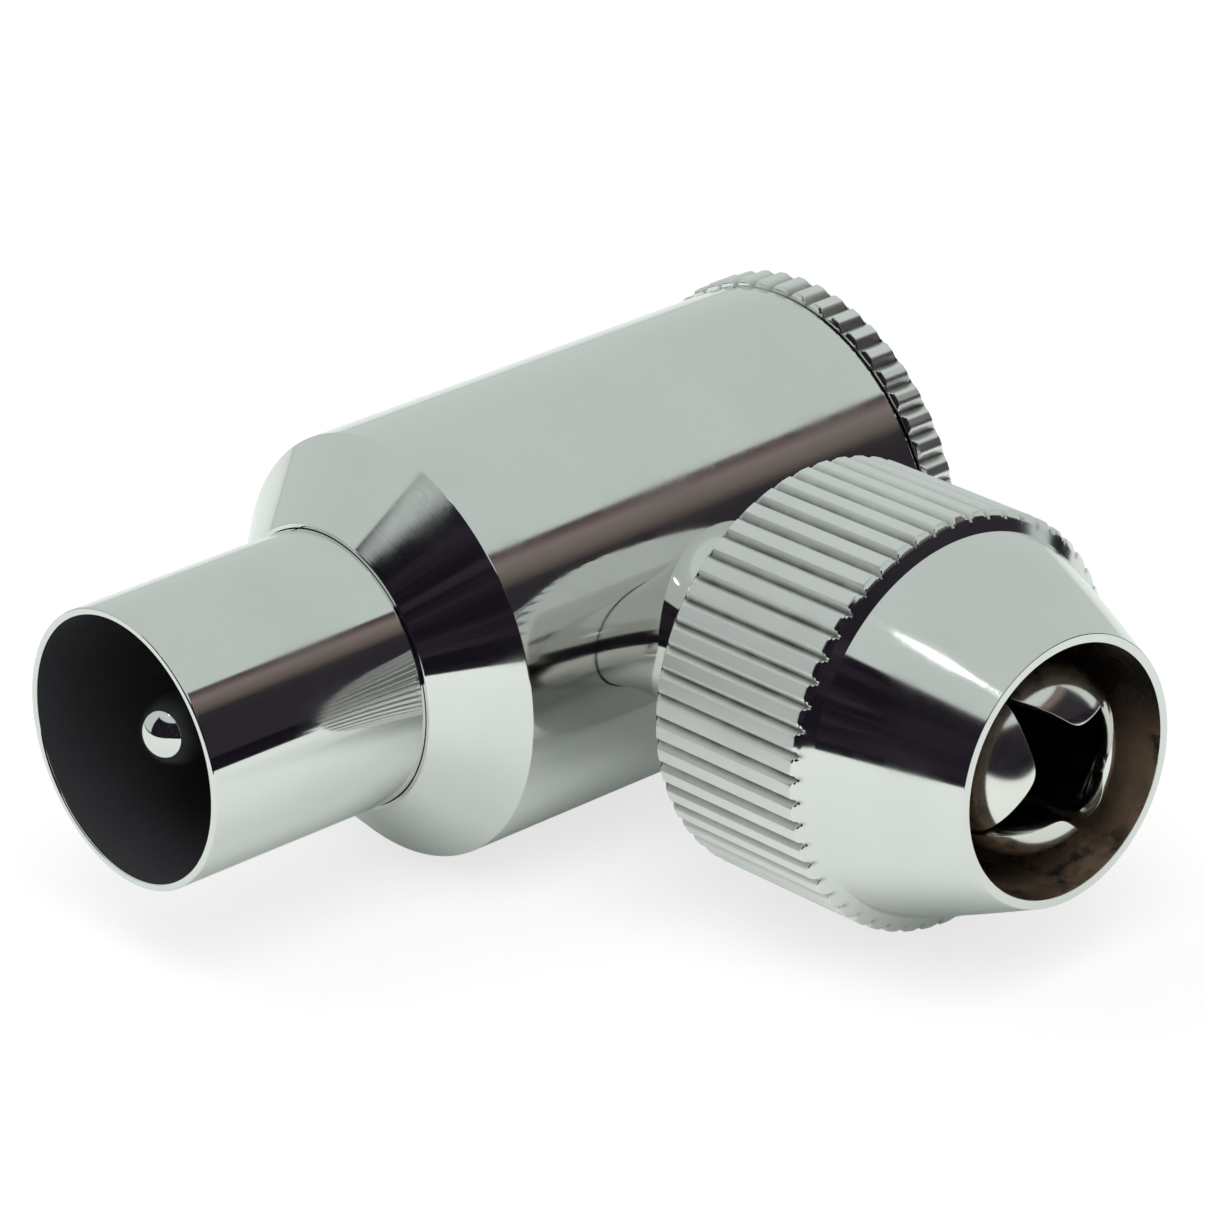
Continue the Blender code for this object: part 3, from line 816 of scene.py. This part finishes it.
def make_plug_bores():
    """What is cut out along the plug: bores for the sleeve, the insulator, the chamber and the cap."""
    beyond = BODY_RADIUS
    cap_end = CAP_BOSS_END + SEAT_CLEARANCE
    sleeve_bore = PLUG_RADIUS + FIT_CLEARANCE
    corners = (
        (COLLAR_END + beyond, 0, 0),
        (COLLAR_END + beyond, sleeve_bore, 0),
        (PLUG_SEAT, sleeve_bore, 0),
        (PLUG_SEAT, SEAT_BORE_RADIUS, 0),
        (CHAMBER_END, SEAT_BORE_RADIUS, 0),
        (CHAMBER_END, BODY_RADIUS - CHAMBER_WALL, 0),
        (cap_end, BODY_RADIUS - CHAMBER_WALL, 0),
        (cap_end, THREAD_BORE_RADIUS, 0),
        (BODY_END - beyond, THREAD_BORE_RADIUS, 0),
        (BODY_END - beyond, 0, 0),
    )
    return turned("housing_bores", outline(corners), NICKEL_ALONG_PLUG, PLUG_AXIS)


def make_cable_bore():
    """What is cut out of the neck for the cable."""
    beyond = BODY_RADIUS
    corners = (
        (0, 0, 0),
        (0, NECK_RADIUS - NECK_WALL, 0),
        (NECK_REACH + beyond, NECK_RADIUS - NECK_WALL, 0),
        (NECK_REACH + beyond, 0, 0),
    )
    return turned("cable_bore", outline(corners), NICKEL_ALONG_PLUG, CABLE_AXIS, SMALL_COLUMNS)


def make_housing():
    """The turned body with its collar, the threaded neck across it, and the bores through both."""
    nose = PLUG_RADIUS + COLLAR_LAND
    corners = (
        (COLLAR_END, 0, 0),
        (COLLAR_END, nose, SOFT_EDGE),
        (BODY_FRONT, BODY_RADIUS, SOFT_EDGE),
        (BODY_END, BODY_RADIUS, BODY_EDGE),
        (BODY_END, 0, 0),
    )
    body = turned("housing_body", outline(corners, LONG_STEP), NICKEL_ALONG_PLUG, PLUG_AXIS)
    steps = ((make_neck(), "UNION"), (make_plug_bores(), "DIFFERENCE"), (make_cable_bore(), "DIFFERENCE"))
    mesh = joined_or_cut("housing_metal", body, steps)
    smooth(mesh)
    rounds = (
        (PLUG_AXIS, BODY_END, BODY_RADIUS, BODY_FRONT, BODY_RADIUS),
        (PLUG_AXIS, BODY_FRONT, BODY_RADIUS, COLLAR_END, nose),
        (CABLE_AXIS, 0, NECK_RADIUS, NECK_THREAD_START, NECK_RADIUS),
    )
    true_round_normals(mesh, rounds)
    return show("housing_metal", mesh, "housing", "nickel", "housing")


def make_sleeve():
    """The thin outer contact. Its bore has a dark matt finish that is painted shade, and its lip is rounded.
    """
    inner = PLUG_RADIUS - PLUG_WALL
    corners = (
        (SLEEVE_REAR, PLUG_RADIUS, 0),
        (PLUG_MOUTH, PLUG_RADIUS, PLUG_WALL * 0.3),
        (PLUG_MOUTH, inner, PLUG_WALL * 0.3),
        (SLEEVE_REAR, inner, 0),
    )
    mesh = turned("sleeve_metal", outline(corners, LONG_STEP, closed=True), NICKEL_ALONG_PLUG, PLUG_AXIS)
    smooth(mesh)
    mesh.materials.append(SHADED_SLEEVE_BORE)
    # Faces inside the bore get the painted shade finish
    for face in mesh.polygons:
        away = face.center - CROSSING
        if math.hypot(away.y, away.z) < inner + HOLD and away.x < PLUG_MOUTH - PLUG_WALL * 0.3:
            face.material_index = 1
    return show("sleeve_metal", mesh, "housing", "nickel", "plug_sleeve")


def make_pin():
    """The round-nosed pin and the terminal block on its rear end."""
    nose = []
    for step in range(16):
        angle = math.pi / 2 * step / 16
        nose.append((PIN_TIP - PIN_NOSE * (1 - math.cos(angle)), PIN_RADIUS * math.sin(angle), 0))
    block_front = CHAMBER_END - SEAT_CLEARANCE
    corners = (
        *nose,
        (PIN_TIP - PIN_NOSE, PIN_RADIUS, 0),
        (block_front, PIN_RADIUS, 0),
        (block_front, BLOCK_RADIUS, SOFT_EDGE),
        (PIN_REAR, BLOCK_RADIUS, SOFT_EDGE),
        (PIN_REAR, SCREW_HOLE_RADIUS, 0),
        (PIN_REAR + SCREW_HOLE_DEPTH, SCREW_HOLE_RADIUS, 0),
        (PIN_REAR + SCREW_HOLE_DEPTH, 0, 0),
    )
    mesh = turned("pin_metal", outline(corners, LONG_STEP), NICKEL_ALONG_PLUG, PLUG_AXIS, SMALL_COLUMNS)
    smooth(mesh)
    return show("pin_metal", mesh, "housing", "nickel", "centre_pin")


def make_insulator():
    """The black moulding that carries the pin, with a raised ring round the pin and a draft to its rim."""
    bore = PIN_RADIUS + FIT_CLEARANCE
    ring = 2 * PIN_RADIUS
    dish = 0.35 * MM
    seat = PLUG_SEAT + SEAT_CLEARANCE
    spigot = SEAT_BORE_RADIUS - FIT_CLEARANCE
    corners = (
        (INSULATOR_FRONT, bore, 0),
        (INSULATOR_FRONT, ring, SOFT_EDGE),
        (INSULATOR_FRONT - dish, ring + dish, SOFT_EDGE),
        (INSULATOR_FRONT - dish, INSULATOR_RADIUS - dish, SOFT_EDGE),
        (INSULATOR_FRONT, INSULATOR_RADIUS - dish / 2, SOFT_EDGE),
        (INSULATOR_FRONT, INSULATOR_RADIUS, 0),
        (seat, INSULATOR_RADIUS, 0),
        (seat, spigot, 0),
        (INSULATOR_REAR, spigot, 0),
        (INSULATOR_REAR, bore, 0),
    )
    rows = outline(corners, closed=True)
    mesh = turned("insulator_plastic", rows, BLACK_PLASTIC, PLUG_AXIS, SMALL_COLUMNS)
    smooth(mesh)
    return show("insulator_plastic", mesh, "housing", "black_insulator", "pin_insulator")


def cap_rows():
    """The cap's section in rows: fine over its knurl and thread, coarse on its plain face and hollow."""
    knurl_end = CAP_FACE + CAP_FACE_RISE
    chamfered = CAP_RADIUS - KNURL_CHAMFER
    inside = CAP_FACE + CAP_FLOOR
    face = (
        (CAP_FACE, 0, 0),
        (CAP_FACE, CAP_RADIUS - 2 * CAP_FACE_EDGE, 0),
    )
    worked = (
        (CAP_FACE, CAP_RADIUS - 2 * CAP_FACE_EDGE, 0),
        (CAP_FACE, CAP_RADIUS - CAP_FACE_EDGE, 2 * SOFT_EDGE),
        (knurl_end, chamfered, 0),
        (knurl_end + KNURL_CHAMFER / 2, CAP_RADIUS, 0),
        (CAP_START - KNURL_CHAMFER / 2, CAP_RADIUS, 0),
        (CAP_START, chamfered, 0),
        (CAP_START, CAP_BOSS_RADIUS, 0),
        (CAP_BOSS_END, CAP_BOSS_RADIUS, 0),
        (CAP_BOSS_END, CAP_HOLLOW_RADIUS, 0),
    )
    hollow = (
        (CAP_BOSS_END, CAP_HOLLOW_RADIUS, 0),
        (inside, CAP_HOLLOW_RADIUS, 0),
        (inside, 0, 0),
    )
    rows = outline(face, LONG_STEP)
    rows += outline(worked, CAP_ROW_STRETCH * THREAD_PITCH / THREAD_STEPS)[1:]
    return rows + outline(hollow, LONG_STEP)[1:]


def make_cap():
    """The knurled screw cap with its faced end and threaded boss."""
    knurl_end = CAP_FACE + CAP_FACE_RISE
    chamfered = CAP_RADIUS - KNURL_CHAMFER

    def knurled(point):
        return float(point[1] > chamfered - SEAM and knurl_end - SEAM <= point[0] <= CAP_START + SEAM)

    def threaded(point):
        if abs(point[1] - CAP_BOSS_RADIUS) > SEAM:
            return 0.0
        return max(0.0, min(1.0, (point[0] - CAP_START) / THREAD_PITCH))

    mesh = turned(
        "cap_metal",
        cap_rows(),
        NICKEL_ALONG_PLUG,
        PLUG_AXIS,
        CAP_TEETH * COLUMNS_PER_TOOTH,
        knurled,
        threaded,
        **knurl_sizes(CAP_TEETH, CAP_RADIUS, CAP_LAND),
    )
    smooth(mesh)
    return show("cap_metal", mesh, "cap", "nickel", "rear_cap")


def nut_corners():
    """The nut's section: back, knurled barrel, sloping face, bulging cone, thin lip, and the lip inside."""
    lip = MOUTH_RADIUS + MOUTH_WALL
    base = NUT_RADIUS - NUT_FACE_WIDTH
    chamfered = NUT_RADIUS - KNURL_CHAMFER
    claw_hole = CLAW_RADIUS + SEAT_CLEARANCE
    cone_start = NUT_FRONT + NUT_FACE_RISE
    cone_length = NUT_MOUTH - cone_start
    face_slope = NUT_FACE_RISE / (chamfered - base)
    back = []
    for step in range(EDGE_STEPS + 1):
        drop = KNURL_DEPTH * (1 - step / EDGE_STEPS)
        back.append((NUT_START + NUT_CHAMFER - drop, NUT_RADIUS - drop, 0))
    front = []
    for step in range(EDGE_STEPS + 1):
        drop = KNURL_CHAMFER * step / EDGE_STEPS
        front.append((NUT_FRONT - KNURL_CHAMFER + drop, NUT_RADIUS - drop, 0))
    cone = []
    for step in range(CONE_STEPS):
        share = step / CONE_STEPS
        bulge = CONE_BULGE * math.sin(math.pi * share)
        cone.append((cone_start + share * cone_length, base + share * (lip - base) + bulge, 0))
    return (
        (NUT_START, NUT_THREAD_RADIUS, 0),
        (NUT_START, NUT_RADIUS - NUT_CHAMFER, 0),
        *back,
        *front,
        (NUT_FRONT + face_slope * (chamfered - NUT_GROOVE_FLOOR), NUT_GROOVE_FLOOR, 0),
        *cone,
        (NUT_MOUTH, lip, LIP_EDGE),
        (NUT_MOUTH, MOUTH_RADIUS, LIP_EDGE),
        (NUT_STEP + NUT_LIP, MOUTH_RADIUS, 0),
        (NUT_STEP + NUT_LIP, claw_hole, SOFT_EDGE),
        (NUT_STEP, claw_hole, 0),
        (NUT_STEP, NUT_THREAD_RADIUS, 0),
    )


def make_nut():
    """The clamping nut. Its bore in front of the claws has a finish of its own, which paints shade and a dim
    brown reflection into it.
    """

    def knurled(point):
        return float(point[1] > NUT_GROOVE_FLOOR - SEAM)

    mesh = turned(
        "nut_metal",
        outline(nut_corners(), LONG_STEP, closed=True),
        NICKEL_ALONG_CABLE,
        CABLE_AXIS,
        NUT_TEETH * COLUMNS_PER_TOOTH,
        knurled,
        **knurl_sizes(NUT_TEETH, NUT_RADIUS, NUT_LAND),
    )
    smooth(mesh)
    mesh.materials.append(NUT_BORE)
    # Faces of the bore in front of the claws get the finish with painted shade and reflection
    for face in mesh.polygons:
        away = face.center - CROSSING
        inside = math.hypot(away.x, away.z) < MOUTH_RADIUS + HOLD
        if inside and NUT_STEP + HOLD < away.y < NUT_MOUTH - LIP_EDGE:
            face.material_index = 1
    return show("nut_metal", mesh, "nut", "nickel", "compression_nut")


def claw_column(angle, across):
    """Outer and inner points of one petal column, from the slot's floor to the free edge."""
    bend_centre = CLAW_RADIUS - CLAW_BEND
    bend_start = CLAW_TIP - CLAW_BEND
    edge = CLAW_HOLE_RADIUS + (CLAW_CORNER_RADIUS - CLAW_HOLE_RADIUS) * abs(across) ** CLAW_TONGUE
    last = math.acos((edge - bend_centre) / CLAW_BEND)
    slot_floor = CLAW_BASE + CLAW_SLOT_START
    straight = PETAL_ROWS // 2
    skins = []
    for radius in (CLAW_BEND, CLAW_BEND - CLAW_SHEET):
        path = []
        for row in range(straight):
            path.append((bend_centre + radius, slot_floor + (bend_start - slot_floor) * row / straight))
        for row in range(PETAL_ROWS + 1):
            turn = last * row / PETAL_ROWS
            path.append((bend_centre + radius * math.cos(turn), bend_start + radius * math.sin(turn)))
        skins.append([CABLE_AXIS @ Vector((r * math.cos(angle), r * math.sin(angle), z)) for r, z in path])
    return skins


def claw_columns():
    """The angle of every petal column, and its place across its petal, from -1 to 1."""
    spread = math.pi / CLAW_PETALS - CLAW_SLOT_WIDTH / 2 / CLAW_RADIUS
    columns = []
    for petal in range(CLAW_PETALS):
        centre = 2 * math.pi * petal / CLAW_PETALS - CLAW_TURN
        for column in range(PETAL_COLUMNS):
            across = 2 * column / (PETAL_COLUMNS - 1) - 1
            columns.append((centre + across * spread, across))
    return columns


def flange_faces(bm, columns, petals):
    """The flange and the ring's foot, from the petals' outer skin round to their inner one."""
    inner = CLAW_RADIUS - CLAW_SHEET
    flange = half("claw_ring", 2)
    flange_top = CLAW_BASE + CLAW_FLANGE
    steps = ((flange_top, CLAW_RADIUS), (flange_top, flange), (CLAW_BASE, flange), (CLAW_BASE, inner))
    rings = []
    for along, radius in steps:
        places = [Vector((radius * math.cos(a), radius * math.sin(a), along)) for a, _ in columns]
        rings.append([bm.verts.new(CABLE_AXIS @ place) for place in places])
    foot = [[column[0][0] for column in petals], *rings, [column[1][0] for column in petals]]
    for first, second in zip(foot, foot[1:]):
        for index, point in enumerate(first):
            after = (index + 1) % len(first)
            bm.faces.new((point, first[after], second[after], second[index]))


def petal_faces(bm, petals):
    """The petals' two skins and free edges, their sides along the slots, and the slots' floors."""
    for index, here in enumerate(petals):
        outside, inside = here
        after = petals[(index + 1) % len(petals)]
        place = index % PETAL_COLUMNS
        if place in (0, PETAL_COLUMNS - 1):
            for row in range(len(outside) - 1):
                bm.faces.new((outside[row], outside[row + 1], inside[row + 1], inside[row]))
        if place == PETAL_COLUMNS - 1:
            bm.faces.new((outside[0], after[0][0], after[1][0], inside[0]))
            continue
        for row in range(len(outside) - 1):
            for side in (0, 1):
                bm.faces.new((here[side][row], after[side][row], after[side][row + 1], here[side][row + 1]))
        bm.faces.new((outside[-1], after[0][-1], after[1][-1], inside[-1]))


def make_claws():
    """Four springy polished petals on a flange, their rims softened."""
    bm = bmesh.new()
    columns = claw_columns()
    petals = []
    for angle, across in columns:
        petals.append([[bm.verts.new(p) for p in side] for side in claw_column(angle, across)])
    flange_faces(bm, columns, petals)
    petal_faces(bm, petals)
    bmesh.ops.recalc_face_normals(bm, faces=bm.faces)
    mesh = bpy.data.meshes.new("claw_metal")
    bm.to_mesh(mesh)
    bm.free()
    mesh.materials.append(CLAW_NICKEL)
    obj = bpy.data.objects.new("claw_shape", mesh)
    bpy.context.scene.collection.objects.link(obj)
    bevel = obj.modifiers.new("rims", "BEVEL")
    bevel.width = CLAW_EDGE
    bevel.segments = 3
    bevel.limit_method = "ANGLE"
    bevel.angle_limit = math.radians(50)
    mesh = applied(obj)
    smooth(mesh)
    return show("claw_metal", mesh, "claw", "claw_nickel", "claw_ring")


def finish_small_pieces():
    """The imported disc, washer and screw keep their shape and get their own finishes."""
    for node, finish in (("cap_disc", FIBRE), ("terminal_washer", STEEL), ("terminal_screw", STEEL)):
        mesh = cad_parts[node].data
        mesh.materials.clear()
        mesh.materials.append(finish)


# Studio


def direction(azimuth, elevation):
    turn, rise = math.radians(azimuth), math.radians(elevation)
    return Vector((math.cos(turn) * math.cos(rise), math.sin(turn) * math.cos(rise), math.sin(rise)))


def room_colour(tree, way, aside, height, centre):
    """The dark room behind the tent's opening, with brown haze on one side."""
    waver = noise(tree, stretched(tree, way, (1.0, 1.0, 2.0)), 4.0, 5.0, 0.6)
    swing = math.radians(HAZE_WAVER)
    wavy = calc(tree, "MULTIPLY_ADD", waver, swing, calc(tree, "SUBTRACT", height, swing / 2))
    low, high = (math.radians(e) for e in HAZE_ELEVATIONS)
    haze = banded(tree, remap(tree, wavy, low, high), HAZE_BANDS)
    cloud = remap(tree, noise(tree, way, 9.0, 6.0, 0.7), 0.45, 0.75)
    plain = mixed(tree, cloud, (*ROOM_COLOUR, 1), (*ROOM_CLOUD, 1))
    near, far = (math.radians(a) - centre for a in HAZE_AZIMUTHS)
    return mixed(tree, remap(tree, aside, near, far, soft=True), plain, haze)


def mirrored_colour(tree, way):
    """What polished metal sees: a pale tent, a dark room through its opening, and one lamp."""
    centre = math.radians(sum(OPENING_AZIMUTHS) / 2)
    width = math.radians(OPENING_AZIMUTHS[1] - OPENING_AZIMUTHS[0]) / 2
    spun = add_node(tree, "ShaderNodeSeparateXYZ")
    feed(tree, spun.inputs[0], turned_by(tree, way, (0.0, 0.0, -centre)))
    aside = calc(tree, "ARCTAN2", spun.outputs["Y"], spun.outputs["X"])
    height = calc(tree, "ARCSINE", spun.outputs["Z"])
    top = calc(tree, "MULTIPLY_ADD", aside, OPENING_SLOPE, math.radians(OPENING_TOP))
    over = calc(tree, "SUBTRACT", height, top)
    under = remap(tree, over, -OPENING_BLUR, OPENING_BLUR, 1.0, 0.0, soft=True)
    off_centre = calc(tree, "ABSOLUTE", aside)
    across = remap(tree, off_centre, width - OPENING_BLUR, width + OPENING_BLUR, 1.0, 0.0, soft=True)
    room = room_colour(tree, way, aside, height, centre)
    sky = mixed(tree, calc(tree, "MULTIPLY", across, under), (*TENT_COLOUR, 1), room)
    lamp_way = add_node(tree, "ShaderNodeVectorMath", operation="DOT_PRODUCT")
    feed(tree, lamp_way.inputs[0], way)
    feed(tree, lamp_way.inputs[1], direction(LAMP_AZIMUTH, LAMP_ELEVATION))
    edge = math.cos(math.radians(LAMP_SPREAD))
    lamp = remap(tree, lamp_way.outputs["Value"], 1 - LAMP_BLUR * (1 - edge), edge, soft=True)
    return mixed(tree, lamp, sky, (LAMP_STRENGTH, LAMP_STRENGTH, LAMP_STRENGTH, 1))


def background(tree, colour, strength=1.0):
    made = add_node(tree, "ShaderNodeBackground")
    feed(tree, made.inputs["Color"], colour)
    made.inputs["Strength"].default_value = strength
    return made.outputs[0]


def either(tree, share, first, second):
    """The first shader at a share of 0, the second at 1."""
    made = add_node(tree, "ShaderNodeMixShader")
    for socket, value in zip(made.inputs, (share, first, second)):
        feed(tree, socket, value)
    return made.outputs[0]


def make_world():
    """White to the camera. Metal sees the tent and the room, and matt surfaces get an even pale light."""
    world = bpy.data.worlds.new("studio")
    bpy.context.scene.world = world
    world.use_nodes = True
    tree = world.node_tree
    tree.nodes.clear()
    way = add_node(tree, "ShaderNodeTexCoord").outputs["Generated"]
    seen = background(tree, mirrored_colour(tree, way))
    even = background(tree, WHITE, TENT_ON_MATT)
    white = background(tree, WHITE)
    rays = add_node(tree, "ShaderNodeLightPath").outputs
    mirrored = calc(tree, "MAXIMUM", rays["Is Glossy Ray"], rays["Is Transmission Ray"])
    shown = either(tree, rays["Is Camera Ray"], either(tree, mirrored, even, seen), white)
    feed(tree, add_node(tree, "ShaderNodeOutputWorld").inputs["Surface"], shown)


def flat_sheet(name, corners, finish):
    mesh = bpy.data.meshes.new(name)
    mesh.from_pydata(corners, [], [tuple(range(len(corners)))])
    mesh.materials.append(finish)
    obj = bpy.data.objects.new(name, mesh)
    bpy.context.scene.collection.objects.link(obj)
    return obj


def paper_colour(tree):
    """Pale paper round the plug, and the dark table past the paper's edges."""
    place = add_node(tree, "ShaderNodeSeparateXYZ")
    feed(tree, place.inputs[0], add_node(tree, "ShaderNodeTexCoord").outputs["Object"])
    across = calc(tree, "SUBTRACT", place.outputs["X"], CROSSING.x)
    ahead = calc(tree, "SUBTRACT", place.outputs["Y"], CROSSING.y)
    past = calc(tree, "SUBTRACT", ahead, calc(tree, "MULTIPLY_ADD", across, PAPER_SLOPE, PAPER_AHEAD))
    past = calc(tree, "MAXIMUM", past, calc(tree, "SUBTRACT", across, PAPER_SIDE))
    table = remap(tree, past, 0.0, PAPER_EDGE)
    return mixed(tree, table, (*PAPER_COLOUR, 1), (*ROOM_COLOUR, 1))


def matt(tree, colour, glow):
    """A matt surface that gives off a share of its own colour."""
    surface = add_node(tree, "ShaderNodeBsdfDiffuse")
    feed(tree, surface.inputs["Color"], colour)
    own = add_node(tree, "ShaderNodeEmission")
    feed(tree, own.inputs["Color"], colour)
    return either(tree, glow, surface.outputs[0], own.outputs[0])


def make_floor():
    """Pale paper on a dark table. The camera sees all of it white, with the shadow; metal sees the table."""
    made = bpy.data.materials.new("floor_paper")
    made.use_nodes = True
    tree = made.node_tree
    tree.nodes.clear()
    paper = matt(tree, paper_colour(tree), PAPER_GLOW)
    shown = matt(tree, WHITE, FLOOR_GLOW)
    to_camera = add_node(tree, "ShaderNodeLightPath").outputs["Is Camera Ray"]
    surface = either(tree, to_camera, paper, shown)
    feed(tree, add_node(tree, "ShaderNodeOutputMaterial").inputs["Surface"], surface)
    size = FLOOR_SIZE / 2
    flat_sheet("floor", ((-size, -size, 0), (size, -size, 0), (size, size, 0), (-size, size, 0)), made)


def make_lamps():
    """Two large soft lamps light the paper and the plastic. Metal sees the tent instead."""
    for name, azimuth, elevation, power in SOFT_LAMPS:
        data = bpy.data.lights.new(name, "AREA")
        data.energy = power
        data.size = SOFT_LAMP_SIZE
        lamp = bpy.data.objects.new(name, data)
        way = direction(azimuth, elevation)
        lamp.location = CROSSING + way * SOFT_LAMP_DISTANCE
        lamp.rotation_mode = "QUATERNION"
        lamp.rotation_quaternion = (-way).to_track_quat("-Z", "Y")
        lamp.visible_glossy = False
        bpy.context.scene.collection.objects.link(lamp)


def make_camera():
    data = bpy.data.cameras.new("camera")
    data.sensor_width = 36
    data.lens = CAMERA_LENS
    data.clip_start = 0.01
    camera = bpy.data.objects.new("camera", data)
    aim = CROSSING + CAMERA_AIM
    camera.location = CROSSING + direction(CAMERA_AZIMUTH, CAMERA_ELEVATION) * CAMERA_DISTANCE
    look = (aim - camera.location).to_track_quat("-Z", "Y")
    camera.rotation_mode = "QUATERNION"
    camera.rotation_quaternion = look @ Quaternion((0, 0, 1), math.radians(CAMERA_ROLL))
    bpy.context.scene.collection.objects.link(camera)
    bpy.context.scene.camera = camera


TURNED = build_turned_tree()
MARKS = build_marks_group()
# Soiling and painted shade in grooves
GRIME_AND_SHADE = build_grime_and_shade_group()
GRAIN = build_grain_group()
NICKEL_ALONG_PLUG = metal_finish(
    "nickel_plate", NICKEL, GRIME_AND_SHADE_BROWN, (0.045, 0.11), ALONG_PLUG, knurl_dull_and_sheen=0.28
)
NICKEL_ALONG_CABLE = metal_finish(
    "nickel_nut", NICKEL, GRIME_AND_SHADE_GREEN, (0.05, 0.12), ALONG_CABLE, knurl_dull_and_sheen=0.5
)
# The nut's bore: painted brown reflection and shade, darker on its upper side
NUT_BORE = bore_finish("nut_bore", BORE_SHADE_BROWN, BORE_STAIN_AND_SHADE, (0.22, 0.5), ALONG_CABLE)
CLAW_NICKEL = metal_finish("claw_nickel", CLAW_COLOUR, GRIME_AND_SHADE_BROWN, (0.12, 0.2), NO_WAY)
STEEL = metal_finish("terminal_steel", STEEL_GREY, GRIME_AND_SHADE_BROWN, (0.22, 0.34), ROUND_SCREW)
# Painted shade: a dark matt non-metal finish for the inside of the sleeve
SHADED_SLEEVE_BORE = metal_finish("sleeve_bore_painted_shade", BORE_SHADE_GREY, GRIME_AND_SHADE_BLACK, (0.6, 0.75), ALONG_PLUG, metallic=0.0)
BLACK_PLASTIC = plastic_finish("black_insulator", PLASTIC_BLACK, PLASTIC_CLOUD, (0.38, 0.55), 3000.0)
FIBRE = plastic_finish("disc_fibre", FIBRE_BROWN, FIBRE_CLOUD, (0.55, 0.75), 1800.0)

make_housing()
make_sleeve()
make_pin()
make_insulator()
make_cap()
make_nut()
make_claws()
finish_small_pieces()
make_world()
make_floor()
make_lamps()
make_camera()
bpy.context.scene.view_settings.view_transform = "Standard"
